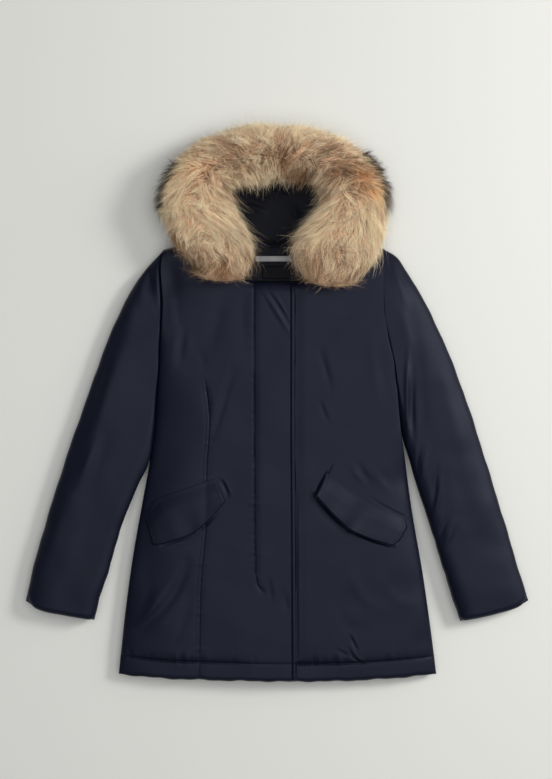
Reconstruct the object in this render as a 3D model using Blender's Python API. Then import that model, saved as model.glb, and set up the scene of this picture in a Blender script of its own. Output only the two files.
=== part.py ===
"""Fur trimmed parka, laid flat on its back with the hood open upwards.

Blender 4.5 script. It builds one closed solid for each piece that a maker cuts and sews.
World units are metres, +Z up, +Y towards the hood, and the coat rests on z = 0. Sizes in
the tables are millimetres in plan, so MM turns them into metres as each mesh is made.
The wearer's right side lies at -X and the wearer's left side at +X.

Every panel is a grid between four sewn edges. Front panels and upper sleeves lie on the
level MID and puff upwards. The back and the under sleeves lie below MID and puff downwards
until they meet the surface.
"""

import bmesh
import bpy
import numpy as np
from mathutils import Vector
from mathutils.bvhtree import BVHTree

MM = 0.001
COLLECTION = "fur_trimmed_parka"

# Heights above the surface, in millimetres.
GAP = 0.3
MID = 18.0
FRONT_FILL = 28.0
FRONT_FALL = 6.0
HALF_CHEST = 290.0
SLEEVE_FILL = 25.0
LEAST_THICKNESS = 3.0

# Seam clearance in plan, on each side of a seam.
SEAM = 0.3

# Lap of the wearer's right front over the left front.
LAP = 22.0
LAP_LEVEL = 30.0
LAP_CLEARANCE = 5.0
UNDERLAP = LAP + 5.0
LAP_STEP = 2.0

# Hem channel: its depth from the edge, and how full it is beside the panel.
HEM_DEPTH = 34.0
HEM_SHARE = 0.66
HEM_RISE = 36.0
HEM_END = (0.5, 9.0)
HEM_DIP = (0.06, 4.0)

# Share of the full thickness that is left at an edge, and the width over which it rounds.
SIDE_EDGE = (0.11, 58.0)
ARMHOLE_EDGE = (0.42, 32.0)
NECK_EDGE = (0.6, 22.0)
FRONT_EDGE = (0.66, 10.0)
SLEEVE_EDGE = (0.12, 60.0)
CUFF_EDGE = (0.36, 22.0)
UNDER_EDGE = (0.16, 30.0)
UNDER_SEAM = (0.62, 18.0)
UNDER_HEM = (0.45, 14.0)
UNDER_CUFF = (0.45, 16.0)
LEFT_FRONT_RISE = 46.0
UNDERARM_BLEND = 45.0

# Length of each armhole edge, from the shoulder to the underarm.
RIGHT_ARMHOLE_LENGTH = 249.0
LEFT_ARMHOLE_LENGTH = 253.0

# Stitched lines of the lapped front: distance from its edge, half width, share taken away.
PLACKET_SEAM = (74.0, 5.0, 0.12)
PLACKET_FOOT = -330.0
EDGE_STITCH = (6.0, 2.5, 0.05)

# Outlines in plan: points (x, y) in millimetres. A point given twice is a corner.
RIGHT_ARMHOLE = ((-209, 282), (-212, 261), (-209, 182), (-215, 100), (-220, 35))
RIGHT_SIDE = ((-220, 35), (-228, -66), (-234, -112), (-243, -167), (-263, -280), (-277, -383), (-291, -496))
LEFT_ARMHOLE = ((197, 284), (195, 212), (197, 169), (204, 120), (216, 77), (222, 35))
LEFT_SIDE = ((222, 35), (232, -42), (237, -101), (248, -195), (267, -305), (283, -416), (293, -496))
RIGHT_HEM = ((-291, -496), (-215, -503), (-142, -506), (-50, -508), (35, -509))
LEFT_HEM = ((13, -509), (125, -508), (226, -502), (293, -496))
RIGHT_FRONT_TOP = (
    (-209, 282), (-108, 312), (-108, 312), (-95, 268), (-70, 237), (-40, 223), (-40, 223), (32, 222),
)
LEFT_FRONT_TOP = ((10, 222), (40, 222), (40, 222), (72, 237), (94, 268), (105, 311), (105, 311), (197, 284))
FRONT_EDGE_LINE = ((32, 222), (32, -65), (35, -509))
BACK_TOP = (
    (-209, 282), (-109, 313), (-109, 313), (-64, 283), (-4, 274), (62, 283), (105, 313), (105, 313),
    (197, 284),
)
BACK_HEM = ((-291, -496), (-142, -506), (29, -509), (125, -508), (293, -496))

RIGHT_SLEEVE_OUTER = (
    (-209, 282), (-241, 247), (-260, 221), (-307, 127), (-344, 26), (-383, -85), (-418, -195), (-449, -305),
    (-462, -362),
)
RIGHT_SLEEVE_INNER = (
    (-220, 35), (-228.5, -66), (-235, -112), (-252, -158), (-283, -223), (-309, -305), (-328, -364),
    (-336, -397),
)
RIGHT_CUFF = ((-462, -362), (-442, -375), (-388, -388), (-336, -397))
LEFT_SLEEVE_OUTER = (
    (197, 284), (219, 271), (236, 247), (259, 210), (309, 109), (351, -2), (386, -112), (420, -223),
    (453, -333), (462, -361),
)
LEFT_SLEEVE_INNER = (
    (222, 35), (232.5, -42), (239, -105), (247, -142), (271, -195), (298, -278), (324, -361), (337, -399),
)
LEFT_CUFF = ((462, -361), (448, -370), (399, -386), (337, -399))

# Broad folds, each a soft trough (depth below 0) or ridge (above 0) between two points.
# Columns: x0, y0, x1, y1, half width, depth.
RIGHT_FRONT_FOLDS = (
    (-133, 40, -126, -110, 9, -2.5),
    (-133, 50, -150, 108, 10, -2.0),
    (-104, -40, -84, 60, 11, -1.8),
    (-132, -230, -250, -394, 13, -3.4),
    (-159, -340, -192, -431, 12, -2.4),
    (-134, -225, -142, -480, 8, -2.2),
    (-178, -300, -262, -412, 12, 2.0),
)
LEFT_FRONT_FOLDS = (
    (79, 77, 104, 23, 10, -2.2),
    (77, -5, 92, -32, 9, -1.8),
    (142, -285, 169, -339, 13, -2.2),
    (169, -339, 224, -367, 13, -2.2),
    (150, -300, 190, -420, 14, 1.8),
    (128, -400, 134, -470, 9, -2.2),
)
RIGHT_SLEEVE_FOLDS = (
    (-295, 136, -359, -64, 16, -2.6),
    (-359, -64, -397, -180, 14, -2.2),
    (-277, -64, -250, -150, 12, -2.6),
    (-300, -90, -268, -170, 10, 2.0),
)
LEFT_SLEEVE_FOLDS = (
    (236, 150, 262, -10, 14, -3.0),
    (262, -10, 262, -90, 12, -2.4),
    (256, -80, 296, -205, 11, -2.4),
    (300, -60, 330, -190, 12, -2.0),
    (306, -215, 336, -290, 11, -2.2),
)

# Pocket flaps, in plan: the sewn upper edge, the free lower edge and the two ends.
RIGHT_FLAP = {
    "upper": ((-243, -204), (-217, -171), (-217, -171), (-114, -136)),
    "lower": ((-228, -257), (-208, -255), (-208, -255), (-153, -235), (-130, -217), (-95, -177)),
    "first": ((-243, -204), (-228, -257)),
    "last": ((-114, -136), (-95, -177)),
}
LEFT_FLAP = {
    "upper": ((91, -125), (169, -177), (233, -208)),
    "lower": ((71, -167), (106, -204), (135, -229), (211, -259)),
    "first": ((91, -125), (71, -167)),
    "last": ((233, -208), (239, -224), (239, -224), (226, -247), (226, -247), (211, -259)),
}
FLAP_THICKNESS = 7.0
FLAP_LIFT = 6.0
FLAP_CLEARANCE = 0.6
FLAP_EDGE = (0.35, 7.0)
FLAP_LEAST = 1.2
SLEEVE_SLACK = 1.6

# Hood, as a bowl: foot of the wall in plan, and the height of its rim.
# Columns: foot x, foot y, rim height.
HOOD = (
    (-4, 275, 17.5), (-64, 284.5, 17.5), (-112, 316, 26), (-143, 334, 38), (-161, 362, 45), (-163, 400, 46),
    (-143, 428, 46), (-104, 455, 46), (-56, 469, 46), (-4, 473, 46), (52, 468, 46), (100, 456, 46),
    (138, 427, 46), (156, 392, 46), (153, 358, 45), (137, 332, 38), (109, 316, 26), (62, 284.5, 17.5),
)
HOOD_CENTRE = (-4, 375)
HOOD_FLOOR = 11.0
HOOD_AROUND = 40
# Section of the hood shell, from the middle of its underside to the middle of its inside.
# Columns: distance in from the foot, then the share of the height there.
HOOD_OUTSIDE = ((45, 0), (22, 0), (8, 0.05), (2, 0.16), (0, 0.34), (1, 0.6), (4, 0.86), (8, 0.97), (12, 1.0))
HOOD_INSIDE = ((16, 0.96), (17.5, 0.75), (18, 0.5), (20, 0.25), (26, 0.07), (38, 0), (60, 0))
LINING_CLEARANCE = 0.8
LINING_THICKNESS = 2.0

# Fur ruff. Columns: outer x, outer y, inner x, inner y, height above its seat, droop.
RUFF = (
    (-122, 220, -96, 219, 14, 0),
    (-140, 229, -78, 228, 34, 0),
    (-164, 256, -53, 246, 45, 0),
    (-190, 290, -44, 282, 50, 0),
    (-207, 330, -52, 308, 53, 6),
    (-213, 372, -74, 352, 55, 22),
    (-204, 412, -86, 378, 56, 26),
    (-178, 448, -74, 388, 57, 26),
    (-129, 487, -50, 391, 57, 26),
    (-66, 506, -27, 394, 57, 26),
    (-4, 509, -4, 398, 57, 26),
    (62, 503, 27, 400, 57, 26),
    (122, 484, 52, 398, 57, 26),
    (170, 446, 72, 388, 57, 26),
    (195, 405, 79, 366, 56, 26),
    (202, 360, 66, 344, 55, 22),
    (196, 315, 44, 318, 53, 6),
    (184, 275, 26, 290, 50, 0),
    (164, 240, 34, 250, 46, 0),
    (134, 220, 56, 222, 38, 0),
    (106, 206, 78, 205, 14, 0),
)
RUFF_SEAT = 47.2
RUFF_STATIONS = 68
RUFF_AROUND = 20
RUFF_CROWDING = 0.35
WALL_FOOT = 25.0

# Neck facing between the hood seam and the neckline of the fronts.
FACING = {
    "upper": ((-82, 292.5), (-60, 280.5), (-4, 273), (58, 280.5), (80, 291)),
    "lower": (
        (-81, 252), (-66, 236.5), (-40, 224.2), (-40, 224.2), (42, 224.2), (42, 224.2), (66, 235), (81, 250),
    ),
    "first": ((-82, 292.5), (-81, 252)),
    "last": ((80, 291), (81, 250)),
}
FACING_THICKNESS = 2.2
LABEL_SIZE = (54.0, 24.0, 1.2)
LABEL_CENTRE = (0.0, 242.0)
LABEL_CORNER = 2.0
LOOP_SIZE = (66.0, 10.0, 1.4)
LOOP_CENTRE = (-6.0, 267.0)
LOOP_RISE = 1.2

# Columns and rows of the grids: stops in millimetres along an edge, counted back from the
# far end when negative, and the number of cells between each pair of stops.
STEP = -LAP - LAP_CLEARANCE
FRONT_COLUMNS = (
    (0, 14, -79, -74, -69, STEP - LAP_STEP, STEP, -9, -6, -3, None), (3, 9, 1, 1, 2, 1, 1, 1, 1, 1)
)
LEFT_COLUMNS = ((0, UNDERLAP, UNDERLAP + 26, -14, None), (2, 4, 10, 3))
BODY_ROWS = ((0, 14, -HEM_DEPTH - 4, -HEM_DEPTH, -HEM_DEPTH + 4, -6, None), (3, 30, 1, 1, 1, 2))
BACK_COLUMNS = ((0, 12, -12, None), (2, 18, 2))
BACK_ROWS = ((0, 12, -12, None), (2, 22, 2))
SLEEVE_COLUMNS = ((0, 16, -16, None), (3, 8, 3))
SLEEVE_ROWS = ((0, 14, -10, None), (2, 26, 2))
UNDER_COLUMNS = ((0, 10, -10, None), (2, 6, 2))
UNDER_ROWS = ((0, 12, -12, None), (1, 18, 1))
FLAP_COLUMNS = ((0, 5, -5, None), (2, 9, 2))
FLAP_ROWS = ((0, 5, -5, None), (2, 4, 2))
FACING_COLUMNS = ((0, None), (14,))
FACING_ROWS = ((0, None), (4,))

# Finish: base colour in linear RGB, roughness.
CLOTH = ((0.0155, 0.0185, 0.0280), 0.62)
LINING = ((0.0090, 0.0105, 0.0130), 0.55)
FUR = ((0.3900, 0.2600, 0.1650), 0.90)
LABEL = ((0.0160, 0.0150, 0.0170), 0.50)
TAPE = ((0.1900, 0.1800, 0.1850), 0.60)


def clear_scene():
    for obj in list(bpy.data.objects):
        bpy.data.objects.remove(obj, do_unlink=True)


def principled(name, finish):
    colour, roughness = finish
    material = bpy.data.materials.new(name)
    material.use_nodes = True
    shader = material.node_tree.nodes["Principled BSDF"]
    shader.inputs["Base Color"].default_value = (*colour, 1.0)
    shader.inputs["Roughness"].default_value = roughness
    shader.inputs["Metallic"].default_value = 0.0
    return material


def curve(points):
    """Close points along a smooth curve through the given ones, broken at a repeated point."""
    points = np.array(points, float)
    corners = [i for i in range(1, len(points)) if np.allclose(points[i], points[i - 1])]
    runs = np.split(points, corners)
    dense = []
    for run in runs:
        if len(run) == 2:
            dense.append(run)
            continue
        lengths = line_lengths(run)
        slopes = np.gradient(run, lengths, axis=0)
        at = np.linspace(0, lengths[-1], 40 * len(run))
        i = np.clip(np.searchsorted(lengths, at, "right") - 1, 0, len(run) - 2)
        span = lengths[i + 1] - lengths[i]
        t = ((at - lengths[i]) / span)[:, None]
        span = span[:, None]
        dense.append(
            (2 * t**3 - 3 * t**2 + 1) * run[i]
            + (t**3 - 2 * t**2 + t) * span * slopes[i]
            + (3 * t**2 - 2 * t**3) * run[i + 1]
            + (t**3 - t**2) * span * slopes[i + 1]
        )
    return np.concatenate(dense)


def stations(line, stops, cells):
    """Points of the line at the given stops, with evenly spaced ones between them."""
    total = line_lengths(line)[-1]
    stops = [total if s is None else s if s >= 0 else total + s for s in stops]
    spans = zip(stops, stops[1:], cells)
    at = np.concatenate([np.linspace(a, b, count, endpoint=False) for a, b, count in spans] + [[total]])
    return read_along(line, at), at / total


def patch(upper, lower, first, last, columns, rows):
    """Grid between four edges (a Coons patch): the two blends across, less the corners."""
    upper, across = stations(curve(upper), *columns)
    lower, across_low = stations(curve(lower), *columns)
    first, down = stations(curve(first), *rows)
    last, down_last = stations(curve(last), *rows)
    u = ((across + across_low) / 2)[None, :, None]
    v = ((down + down_last) / 2)[:, None, None]
    sides = (1 - u) * first[:, None] + u * last[:, None]
    ends = (1 - v) * upper[None] + v * lower[None]
    corners = (1 - v) * ((1 - u) * upper[0] + u * upper[-1]) + v * ((1 - u) * lower[0] + u * lower[-1])
    return sides + ends - corners


def shifted(points, dx, dy=0.0):
    return tuple((x + dx, y + dy) for x, y in points)


def rise(distance, width):
    """From 0 at an edge to 1 at the given width, along a quarter circle."""
    return np.sqrt(1 - (1 - np.clip(distance / width, 0, 1)) ** 2)


def rim(distance, edge):
    """Share of the full thickness at a distance from an edge."""
    share, width = edge
    return share + (1 - share) * rise(distance, width)


def bell(distance, width):
    """1 on a line, falling to 0 over a few widths."""
    return np.exp(-((distance / width) ** 2))


def line_lengths(line):
    return np.r_[0, np.cumsum(np.linalg.norm(np.diff(line[:, :2], axis=0), axis=1))]


def read_along(line, at):
    """Rows of a line's table at the given distances along it."""
    lengths = line_lengths(line)
    return np.stack([np.interp(at, lengths, column) for column in line.T], axis=1)


def edge_distances(grid):
    """Distance of each point of a grid from its first and last columns and rows."""
    return (
        np.linalg.norm(grid - grid[:, :1], axis=2),
        np.linalg.norm(grid - grid[:, -1:], axis=2),
        np.linalg.norm(grid - grid[:1], axis=2),
        np.linalg.norm(grid - grid[-1:], axis=2),
    )


def body_edge(grid, column, armhole, side, length):
    """The armhole's settings as far as the underarm, passing into the side seam's below it."""
    down = line_lengths(grid[:, column])
    t = np.clip((down - length) / UNDERARM_BLEND + 0.5, 0, 1)[:, None]
    return tuple(a + (b - a) * t for a, b in zip(armhole, side))


def hem_share(distance):
    """The channel at the hem, then the panel rising from its stitched line."""
    channel = HEM_SHARE * rim(distance, HEM_END)
    panel = HEM_SHARE + (1 - HEM_SHARE) * rise(distance - HEM_DEPTH, HEM_RISE)
    dip, width = HEM_DIP
    return np.where(distance < HEM_DEPTH, channel, panel) - dip * bell(distance - HEM_DEPTH, width)


def folds(grid, table):
    """Sum of soft troughs and ridges: each fades away from its line, and towards its ends."""
    height = np.zeros(grid.shape[:2])
    for x0, y0, x1, y1, width, depth in table:
        start = np.array((x0, y0))
        line = np.array((x1, y1)) - start
        t = np.clip((grid - start) @ line / (line @ line), 0, 1)
        away = np.linalg.norm(grid - start - t[..., None] * line, axis=2)
        height += depth * bell(away, width) * (0.35 + 0.65 * np.sin(np.pi * t))
    return height


def front_fill(grid):
    return FRONT_FILL - FRONT_FALL * (grid[..., 0] / HALF_CHEST) ** 2


def mesh_object(name, points, faces, material):
    """A closed mesh from points in millimetres, with its faces turned outwards."""
    mesh = bpy.data.meshes.new(name)
    mesh.from_pydata((np.asarray(points) * MM).tolist(), [], faces)
    shape = bmesh.new()
    shape.from_mesh(mesh)
    bmesh.ops.recalc_face_normals(shape, faces=shape.faces)
    shape.to_mesh(mesh)
    shape.free()
    mesh.polygons.foreach_set("use_smooth", [len(face.vertices) < 5 for face in mesh.polygons])
    mesh.materials.append(material)
    obj = bpy.data.objects.new(name, mesh)
    bpy.data.collections[COLLECTION].objects.link(obj)
    return obj


def grid_faces(rows, columns):
    index = np.arange(rows * columns).reshape(rows, columns)
    corners = (index[:-1, :-1], index[:-1, 1:], index[1:, 1:], index[1:, :-1])
    return np.stack(corners, axis=2).reshape(-1, 4).tolist()


def rim_loop(rows, columns):
    """(row, column) of each point round the edge of a grid."""
    return (
        [(0, c) for c in range(columns)]
        + [(r, columns - 1) for r in range(1, rows)]
        + [(rows - 1, c) for c in range(columns - 2, -1, -1)]
        + [(r, 0) for r in range(rows - 2, 0, -1)]
    )


def pad(name, grid, puffed, level, material, step=None):
    """A padded panel: its puffed side, a wall round the edge and the flat side it lies on.

    step is (column, level) where the flat side climbs to lie over another piece.
    """
    rows, columns = puffed.shape
    loop = rim_loop(rows, columns)
    points = np.concatenate([grid, puffed[..., None]], axis=2).reshape(-1, 3)
    flat = np.array([(*grid[r, c], level) for r, c in loop])
    if step:
        flat[[i for i, (r, c) in enumerate(loop) if c > step[0]], 2] = step[1]
    base = len(points)
    faces = grid_faces(rows, columns)
    count = len(loop)
    for i, (r, c) in enumerate(loop):
        after = (i + 1) % count
        r2, c2 = loop[after]
        faces.append([r * columns + c, r2 * columns + c2, base + after, base + i])
    if step:
        low = [base + i for i, (r, c) in enumerate(loop) if c <= step[0]]
        high = [base + i for i, (r, c) in enumerate(loop) if c > step[0]]
        cut = step[0] + 1
        faces.append(low[cut:] + low[:cut])
        faces.append(high)
        faces.append([low[cut - 1], high[0], high[-1], low[cut]])
    else:
        faces.append([base + i for i in range(count)])
    return mesh_object(name, np.concatenate([points, flat]), faces, material)


def slab(name, grid, under, over, material):
    """A thin piece between two height grids."""
    rows, columns = under.shape
    loop = rim_loop(rows, columns)
    points = np.concatenate(
        [np.concatenate([grid, z[..., None]], axis=2).reshape(-1, 3) for z in (over, under)]
    )
    base = rows * columns
    faces = grid_faces(rows, columns)
    faces += [[base + i for i in face[::-1]] for face in grid_faces(rows, columns)]
    for (r, c), (r2, c2) in zip(loop, loop[1:] + loop[:1]):
        a = r * columns + c
        b = r2 * columns + c2
        faces.append([a, b, base + b, base + a])
    return mesh_object(name, points, faces, material)


def skin(name, sections, material):
    """A closed skin through rings of equal length, with a face across each end ring."""
    count, around = sections.shape[:2]
    index = np.arange(count * around).reshape(count, around)
    turned = np.roll(index, -1, axis=1)
    faces = np.stack([index[:-1], turned[:-1], turned[1:], index[1:]], axis=2).reshape(-1, 4).tolist()
    faces += [index[0].tolist(), index[-1].tolist()]
    return mesh_object(name, sections.reshape(-1, 3), faces, material)


def build_right_front(cloth):
    """The wearer's right front, with the grown-on placket that laps over the left front."""
    grid = patch(
        shifted(RIGHT_FRONT_TOP, 0, -SEAM),
        RIGHT_HEM,
        shifted(RIGHT_ARMHOLE[:-1] + RIGHT_SIDE, SEAM),
        FRONT_EDGE_LINE,
        FRONT_COLUMNS,
        BODY_ROWS,
    )
    first, last, top, hem = edge_distances(grid)
    armhole = body_edge(grid, 0, ARMHOLE_EDGE, SIDE_EDGE, RIGHT_ARMHOLE_LENGTH)
    share = rim(first, armhole) * rim(last, FRONT_EDGE) * rim(top, NECK_EDGE) * hem_share(hem)
    for (place, width, depth), foot in ((PLACKET_SEAM, PLACKET_FOOT), (EDGE_STITCH, -np.inf)):
        share *= 1 - depth * bell(last - place, width) * (grid[..., 1] > foot)
    puffed = MID + GAP / 2 + front_fill(grid) * share + folds(grid, RIGHT_FRONT_FOLDS) * share
    step_column = sum(FRONT_COLUMNS[1][:5])
    seat = np.full(puffed.shape, MID + GAP / 2)
    seat[:, step_column + 1:] = LAP_LEVEL
    puffed = np.maximum(puffed, seat + LEAST_THICKNESS)
    return pad("right_front", grid, puffed, MID + GAP / 2, cloth, (step_column, LAP_LEVEL))


def build_left_front(cloth):
    """The wearer's left front, whose edge lies flat under the placket."""
    grid = patch(
        shifted(LEFT_FRONT_TOP, 0, -SEAM),
        LEFT_HEM,
        shifted(FRONT_EDGE_LINE, -LAP),
        shifted(LEFT_ARMHOLE[:-1] + LEFT_SIDE, -SEAM),
        LEFT_COLUMNS,
        BODY_ROWS,
    )
    first, last, top, hem = edge_distances(grid)
    armhole = body_edge(grid, -1, ARMHOLE_EDGE, SIDE_EDGE, LEFT_ARMHOLE_LENGTH)
    underlap = (LAP_LEVEL - GAP - MID - GAP / 2) / FRONT_FILL
    share = rim(last, armhole) * rim(top, NECK_EDGE) * hem_share(hem)
    share = np.minimum(share, underlap + (1 - underlap) * rise(first - UNDERLAP, LEFT_FRONT_RISE))
    puffed = MID + GAP / 2 + (front_fill(grid) + folds(grid, LEFT_FRONT_FOLDS)) * share
    return pad("left_front", grid, puffed, MID + GAP / 2, cloth)


def build_back(cloth):
    """The back, resting on the surface, with the hood seam along its neck."""
    grid = patch(
        shifted(BACK_TOP, 0, -SEAM),
        BACK_HEM,
        shifted(RIGHT_ARMHOLE[:-1] + RIGHT_SIDE, SEAM),
        shifted(LEFT_ARMHOLE[:-1] + LEFT_SIDE, -SEAM),
        BACK_COLUMNS,
        BACK_ROWS,
    )
    first, last, top, hem = edge_distances(grid)
    share = (
        rim(first, body_edge(grid, 0, UNDER_SEAM, UNDER_EDGE, RIGHT_ARMHOLE_LENGTH))
        * rim(last, body_edge(grid, -1, UNDER_SEAM, UNDER_EDGE, LEFT_ARMHOLE_LENGTH))
        * rim(top, UNDER_SEAM)
        * rim(hem, UNDER_HEM)
    )
    level = MID - GAP / 2
    return pad("back", grid, level * (1 - share), level, cloth)


def build_sleeve(side, outlines, table, cloth):
    """The upper and the under half of one sleeve, from its armhole to its cuff."""
    armhole, outer, inner, cuff, outward = outlines
    clear = SEAM * outward
    edges = (shifted(armhole, clear), cuff, shifted(outer, clear), shifted(inner, clear * SLEEVE_SLACK))
    grid = patch(*edges, SLEEVE_COLUMNS, SLEEVE_ROWS)
    first, last, top, end = edge_distances(grid)
    share = rim(first, SLEEVE_EDGE) * rim(last, SLEEVE_EDGE) * rim(top, ARMHOLE_EDGE) * rim(end, CUFF_EDGE)
    puffed = MID + GAP / 2 + (SLEEVE_FILL + folds(grid, table)) * share
    pad(side + "_upper_sleeve", grid, puffed, MID + GAP / 2, cloth)

    grid = patch(*edges, UNDER_COLUMNS, UNDER_ROWS)
    first, last, top, end = edge_distances(grid)
    share = rim(first, UNDER_EDGE) * rim(last, UNDER_EDGE) * rim(top, UNDER_SEAM) * rim(end, UNDER_CUFF)
    level = MID - GAP / 2
    pad(side + "_under_sleeve", grid, level * (1 - share), level, cloth)


def surface_heights(obj, grid):
    """Height of an object's top below each point of a grid, in millimetres."""
    mesh = obj.data
    tree = BVHTree.FromPolygons([v.co for v in mesh.vertices], [p.vertices for p in mesh.polygons])
    down = Vector((0, 0, -1))
    above = [Vector((x * MM, y * MM, 1.0)) for x, y in grid.reshape(-1, 2)]
    heights = [tree.ray_cast(point, down)[0].z / MM for point in above]
    return np.array(heights).reshape(grid.shape[:2])


def build_flap(name, outline, panel, cloth):
    """A pocket flap: it follows the panel at its sewn edge and lifts off it at its free edge."""
    grid = patch(
        outline["upper"], outline["lower"], outline["first"], outline["last"], FLAP_COLUMNS, FLAP_ROWS
    )
    first, last, top, free = edge_distances(grid)
    lift = FLAP_LIFT * (top / (top + free)) ** 1.5
    under = surface_heights(panel, grid) + FLAP_CLEARANCE + lift
    share = rim(first, FLAP_EDGE) * rim(last, FLAP_EDGE) * rim(top, FLAP_EDGE) * rim(free, FLAP_EDGE)
    return slab(name, grid, under, under + np.maximum(FLAP_THICKNESS * share, FLAP_LEAST), cloth)


def hood_stations():
    """Foot points and rim heights round the hood, evenly spaced."""
    line = curve(HOOD + HOOD[:1])
    return read_along(line, np.linspace(0, line_lengths(line)[-1], HOOD_AROUND, endpoint=False))


def hood_points(foot, inset, height):
    """Points set in from the foot of the wall towards the hood's centre, at a height."""
    inward = np.array(HOOD_CENTRE) - foot[:, :2]
    inward /= np.linalg.norm(inward, axis=1)[:, None]
    return np.concatenate([foot[:, :2] + inward * inset, np.broadcast_to(height, len(foot))[:, None]], axis=1)


def build_hood(cloth, lining):
    """The padded hood shell with its thin lining inside it."""
    foot = hood_stations()
    rim_height = foot[:, 2]
    climb = rim_height - HOOD_FLOOR
    outside_rings = [hood_points(foot, inset, share * rim_height) for inset, share in HOOD_OUTSIDE]
    inside_rings = [hood_points(foot, inset, HOOD_FLOOR + climb * share) for inset, share in HOOD_INSIDE]
    skin("hood_shell", np.array(outside_rings + inside_rings), cloth)

    under, over = (
        [
            hood_points(foot, inset + clear, HOOD_FLOOR + climb * share + clear)
            for inset, share in HOOD_INSIDE[1:]
        ]
        for clear in (LINING_CLEARANCE, LINING_CLEARANCE + LINING_THICKNESS)
    )
    skin("hood_lining", np.array(under[::-1] + over), lining)


def build_ruff(fur):
    """The fur strip: a soft tube on the hood's rim and the chest, hanging outside the hood."""
    table = np.array(RUFF, float)
    line = curve(np.concatenate([(table[:, :2] + table[:, 2:4]) / 2, table], axis=1))
    t = np.linspace(0, 1, RUFF_STATIONS)
    t = t - RUFF_CROWDING * np.sin(2 * np.pi * t) / (2 * np.pi)
    rows = read_along(line, t * line_lengths(line)[-1])
    outer = rows[:, None, 2:4]
    inner = rows[:, None, 4:6]
    height = rows[:, 6, None]
    droop = rows[:, 7, None]
    half_width = np.linalg.norm(rows[:, 2:4] - rows[:, 4:6], axis=1)[:, None] / 2
    angle = np.linspace(0, 2 * np.pi, RUFF_AROUND, endpoint=False)[None]
    across = np.sign(np.cos(angle)) * np.abs(np.cos(angle)) ** 0.8
    plan = (outer + inner) / 2 + (outer - inner) / 2 * across[..., None]
    upward = np.clip(np.sin(angle), 0, 1) ** 0.8
    downward = np.clip(-np.sin(angle), 0, 1) ** 0.6
    outside = np.clip((across - WALL_FOOT / half_width) / (1 - WALL_FOOT / half_width), 0, 1)
    z = RUFF_SEAT + height * upward - droop * downward * np.sqrt(outside)
    return skin("fur_ruff", np.concatenate([plan, z[..., None]], axis=2), fur)


def build_facing(lining):
    """The neck facing that lies on the back between the hood seam and the fronts."""
    grid = patch(
        FACING["upper"], FACING["lower"], FACING["first"], FACING["last"], FACING_COLUMNS, FACING_ROWS
    )
    under = np.full(grid.shape[:2], MID + GAP / 2)
    slab("neck_facing", grid, under, under + FACING_THICKNESS, lining)


def tape(name, size, centre, rise_height, material, corner=0.0):
    """A flat strip on the facing, arched by rise_height in its middle."""
    length, width, thickness = size
    x = np.linspace(-0.5, 0.5, 9)
    y = np.linspace(0.5, -0.5, 4)
    grid = np.stack(np.meshgrid(centre[0] + length * x, centre[1] + width * y), axis=2)
    if corner:
        grid[[0, -1], 0, 0] += corner
        grid[[0, -1], -1, 0] -= corner
    seat = MID + GAP / 2 + FACING_THICKNESS + GAP
    under = np.broadcast_to(seat + rise_height * np.cos(np.pi * x), grid.shape[:2])
    slab(name, grid, under, under + thickness, material)


def main():
    clear_scene()
    collection = bpy.data.collections.new(COLLECTION)
    bpy.context.scene.collection.children.link(collection)
    cloth = principled("navy_cloth", CLOTH)
    lining = principled("navy_lining", LINING)
    fur = principled("tan_fur", FUR)

    build_back(cloth)
    right_front = build_right_front(cloth)
    left_front = build_left_front(cloth)
    right = (RIGHT_ARMHOLE, RIGHT_SLEEVE_OUTER, RIGHT_SLEEVE_INNER, RIGHT_CUFF, -1)
    left = (LEFT_ARMHOLE, LEFT_SLEEVE_OUTER, LEFT_SLEEVE_INNER, LEFT_CUFF, 1)
    build_sleeve("right", right, RIGHT_SLEEVE_FOLDS, cloth)
    build_sleeve("left", left, LEFT_SLEEVE_FOLDS, cloth)
    build_flap("right_pocket_flap", RIGHT_FLAP, right_front, cloth)
    build_flap("left_pocket_flap", LEFT_FLAP, left_front, cloth)
    build_hood(cloth, lining)
    build_ruff(fur)
    build_facing(lining)
    tape("neck_label", LABEL_SIZE, LABEL_CENTRE, 0.0, principled("label_cloth", LABEL), LABEL_CORNER)
    tape("hanger_loop", LOOP_SIZE, LOOP_CENTRE, LOOP_RISE, principled("grey_tape", TAPE))


main()
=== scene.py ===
"""Looks of the fur trimmed parka, laid flat: its padded cloth, stitching, lining and fur.

Tables are millimetres in the coat's own frame: +X towards the wearer's left sleeve, +Y towards
the hood, +Z up from the surface. MM turns them into metres as each mesh is made.
"""

from collections import namedtuple

import bpy
import numpy as np
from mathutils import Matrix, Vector


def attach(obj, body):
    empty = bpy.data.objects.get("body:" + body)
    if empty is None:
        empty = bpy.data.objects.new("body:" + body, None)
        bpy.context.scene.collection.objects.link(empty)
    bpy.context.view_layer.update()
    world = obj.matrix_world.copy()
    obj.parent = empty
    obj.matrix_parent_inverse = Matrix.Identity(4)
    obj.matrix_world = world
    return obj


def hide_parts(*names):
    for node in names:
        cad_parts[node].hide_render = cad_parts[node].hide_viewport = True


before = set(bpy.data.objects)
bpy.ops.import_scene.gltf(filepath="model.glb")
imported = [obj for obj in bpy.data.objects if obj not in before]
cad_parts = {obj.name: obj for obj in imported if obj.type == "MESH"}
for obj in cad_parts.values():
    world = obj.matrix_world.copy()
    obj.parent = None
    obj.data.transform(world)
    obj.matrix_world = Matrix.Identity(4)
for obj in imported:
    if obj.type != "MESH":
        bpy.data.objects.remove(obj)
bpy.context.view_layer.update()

MM = 0.001
# Radians in a turn, near enough for the phases of small waves.
TURN = 6.28

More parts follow.
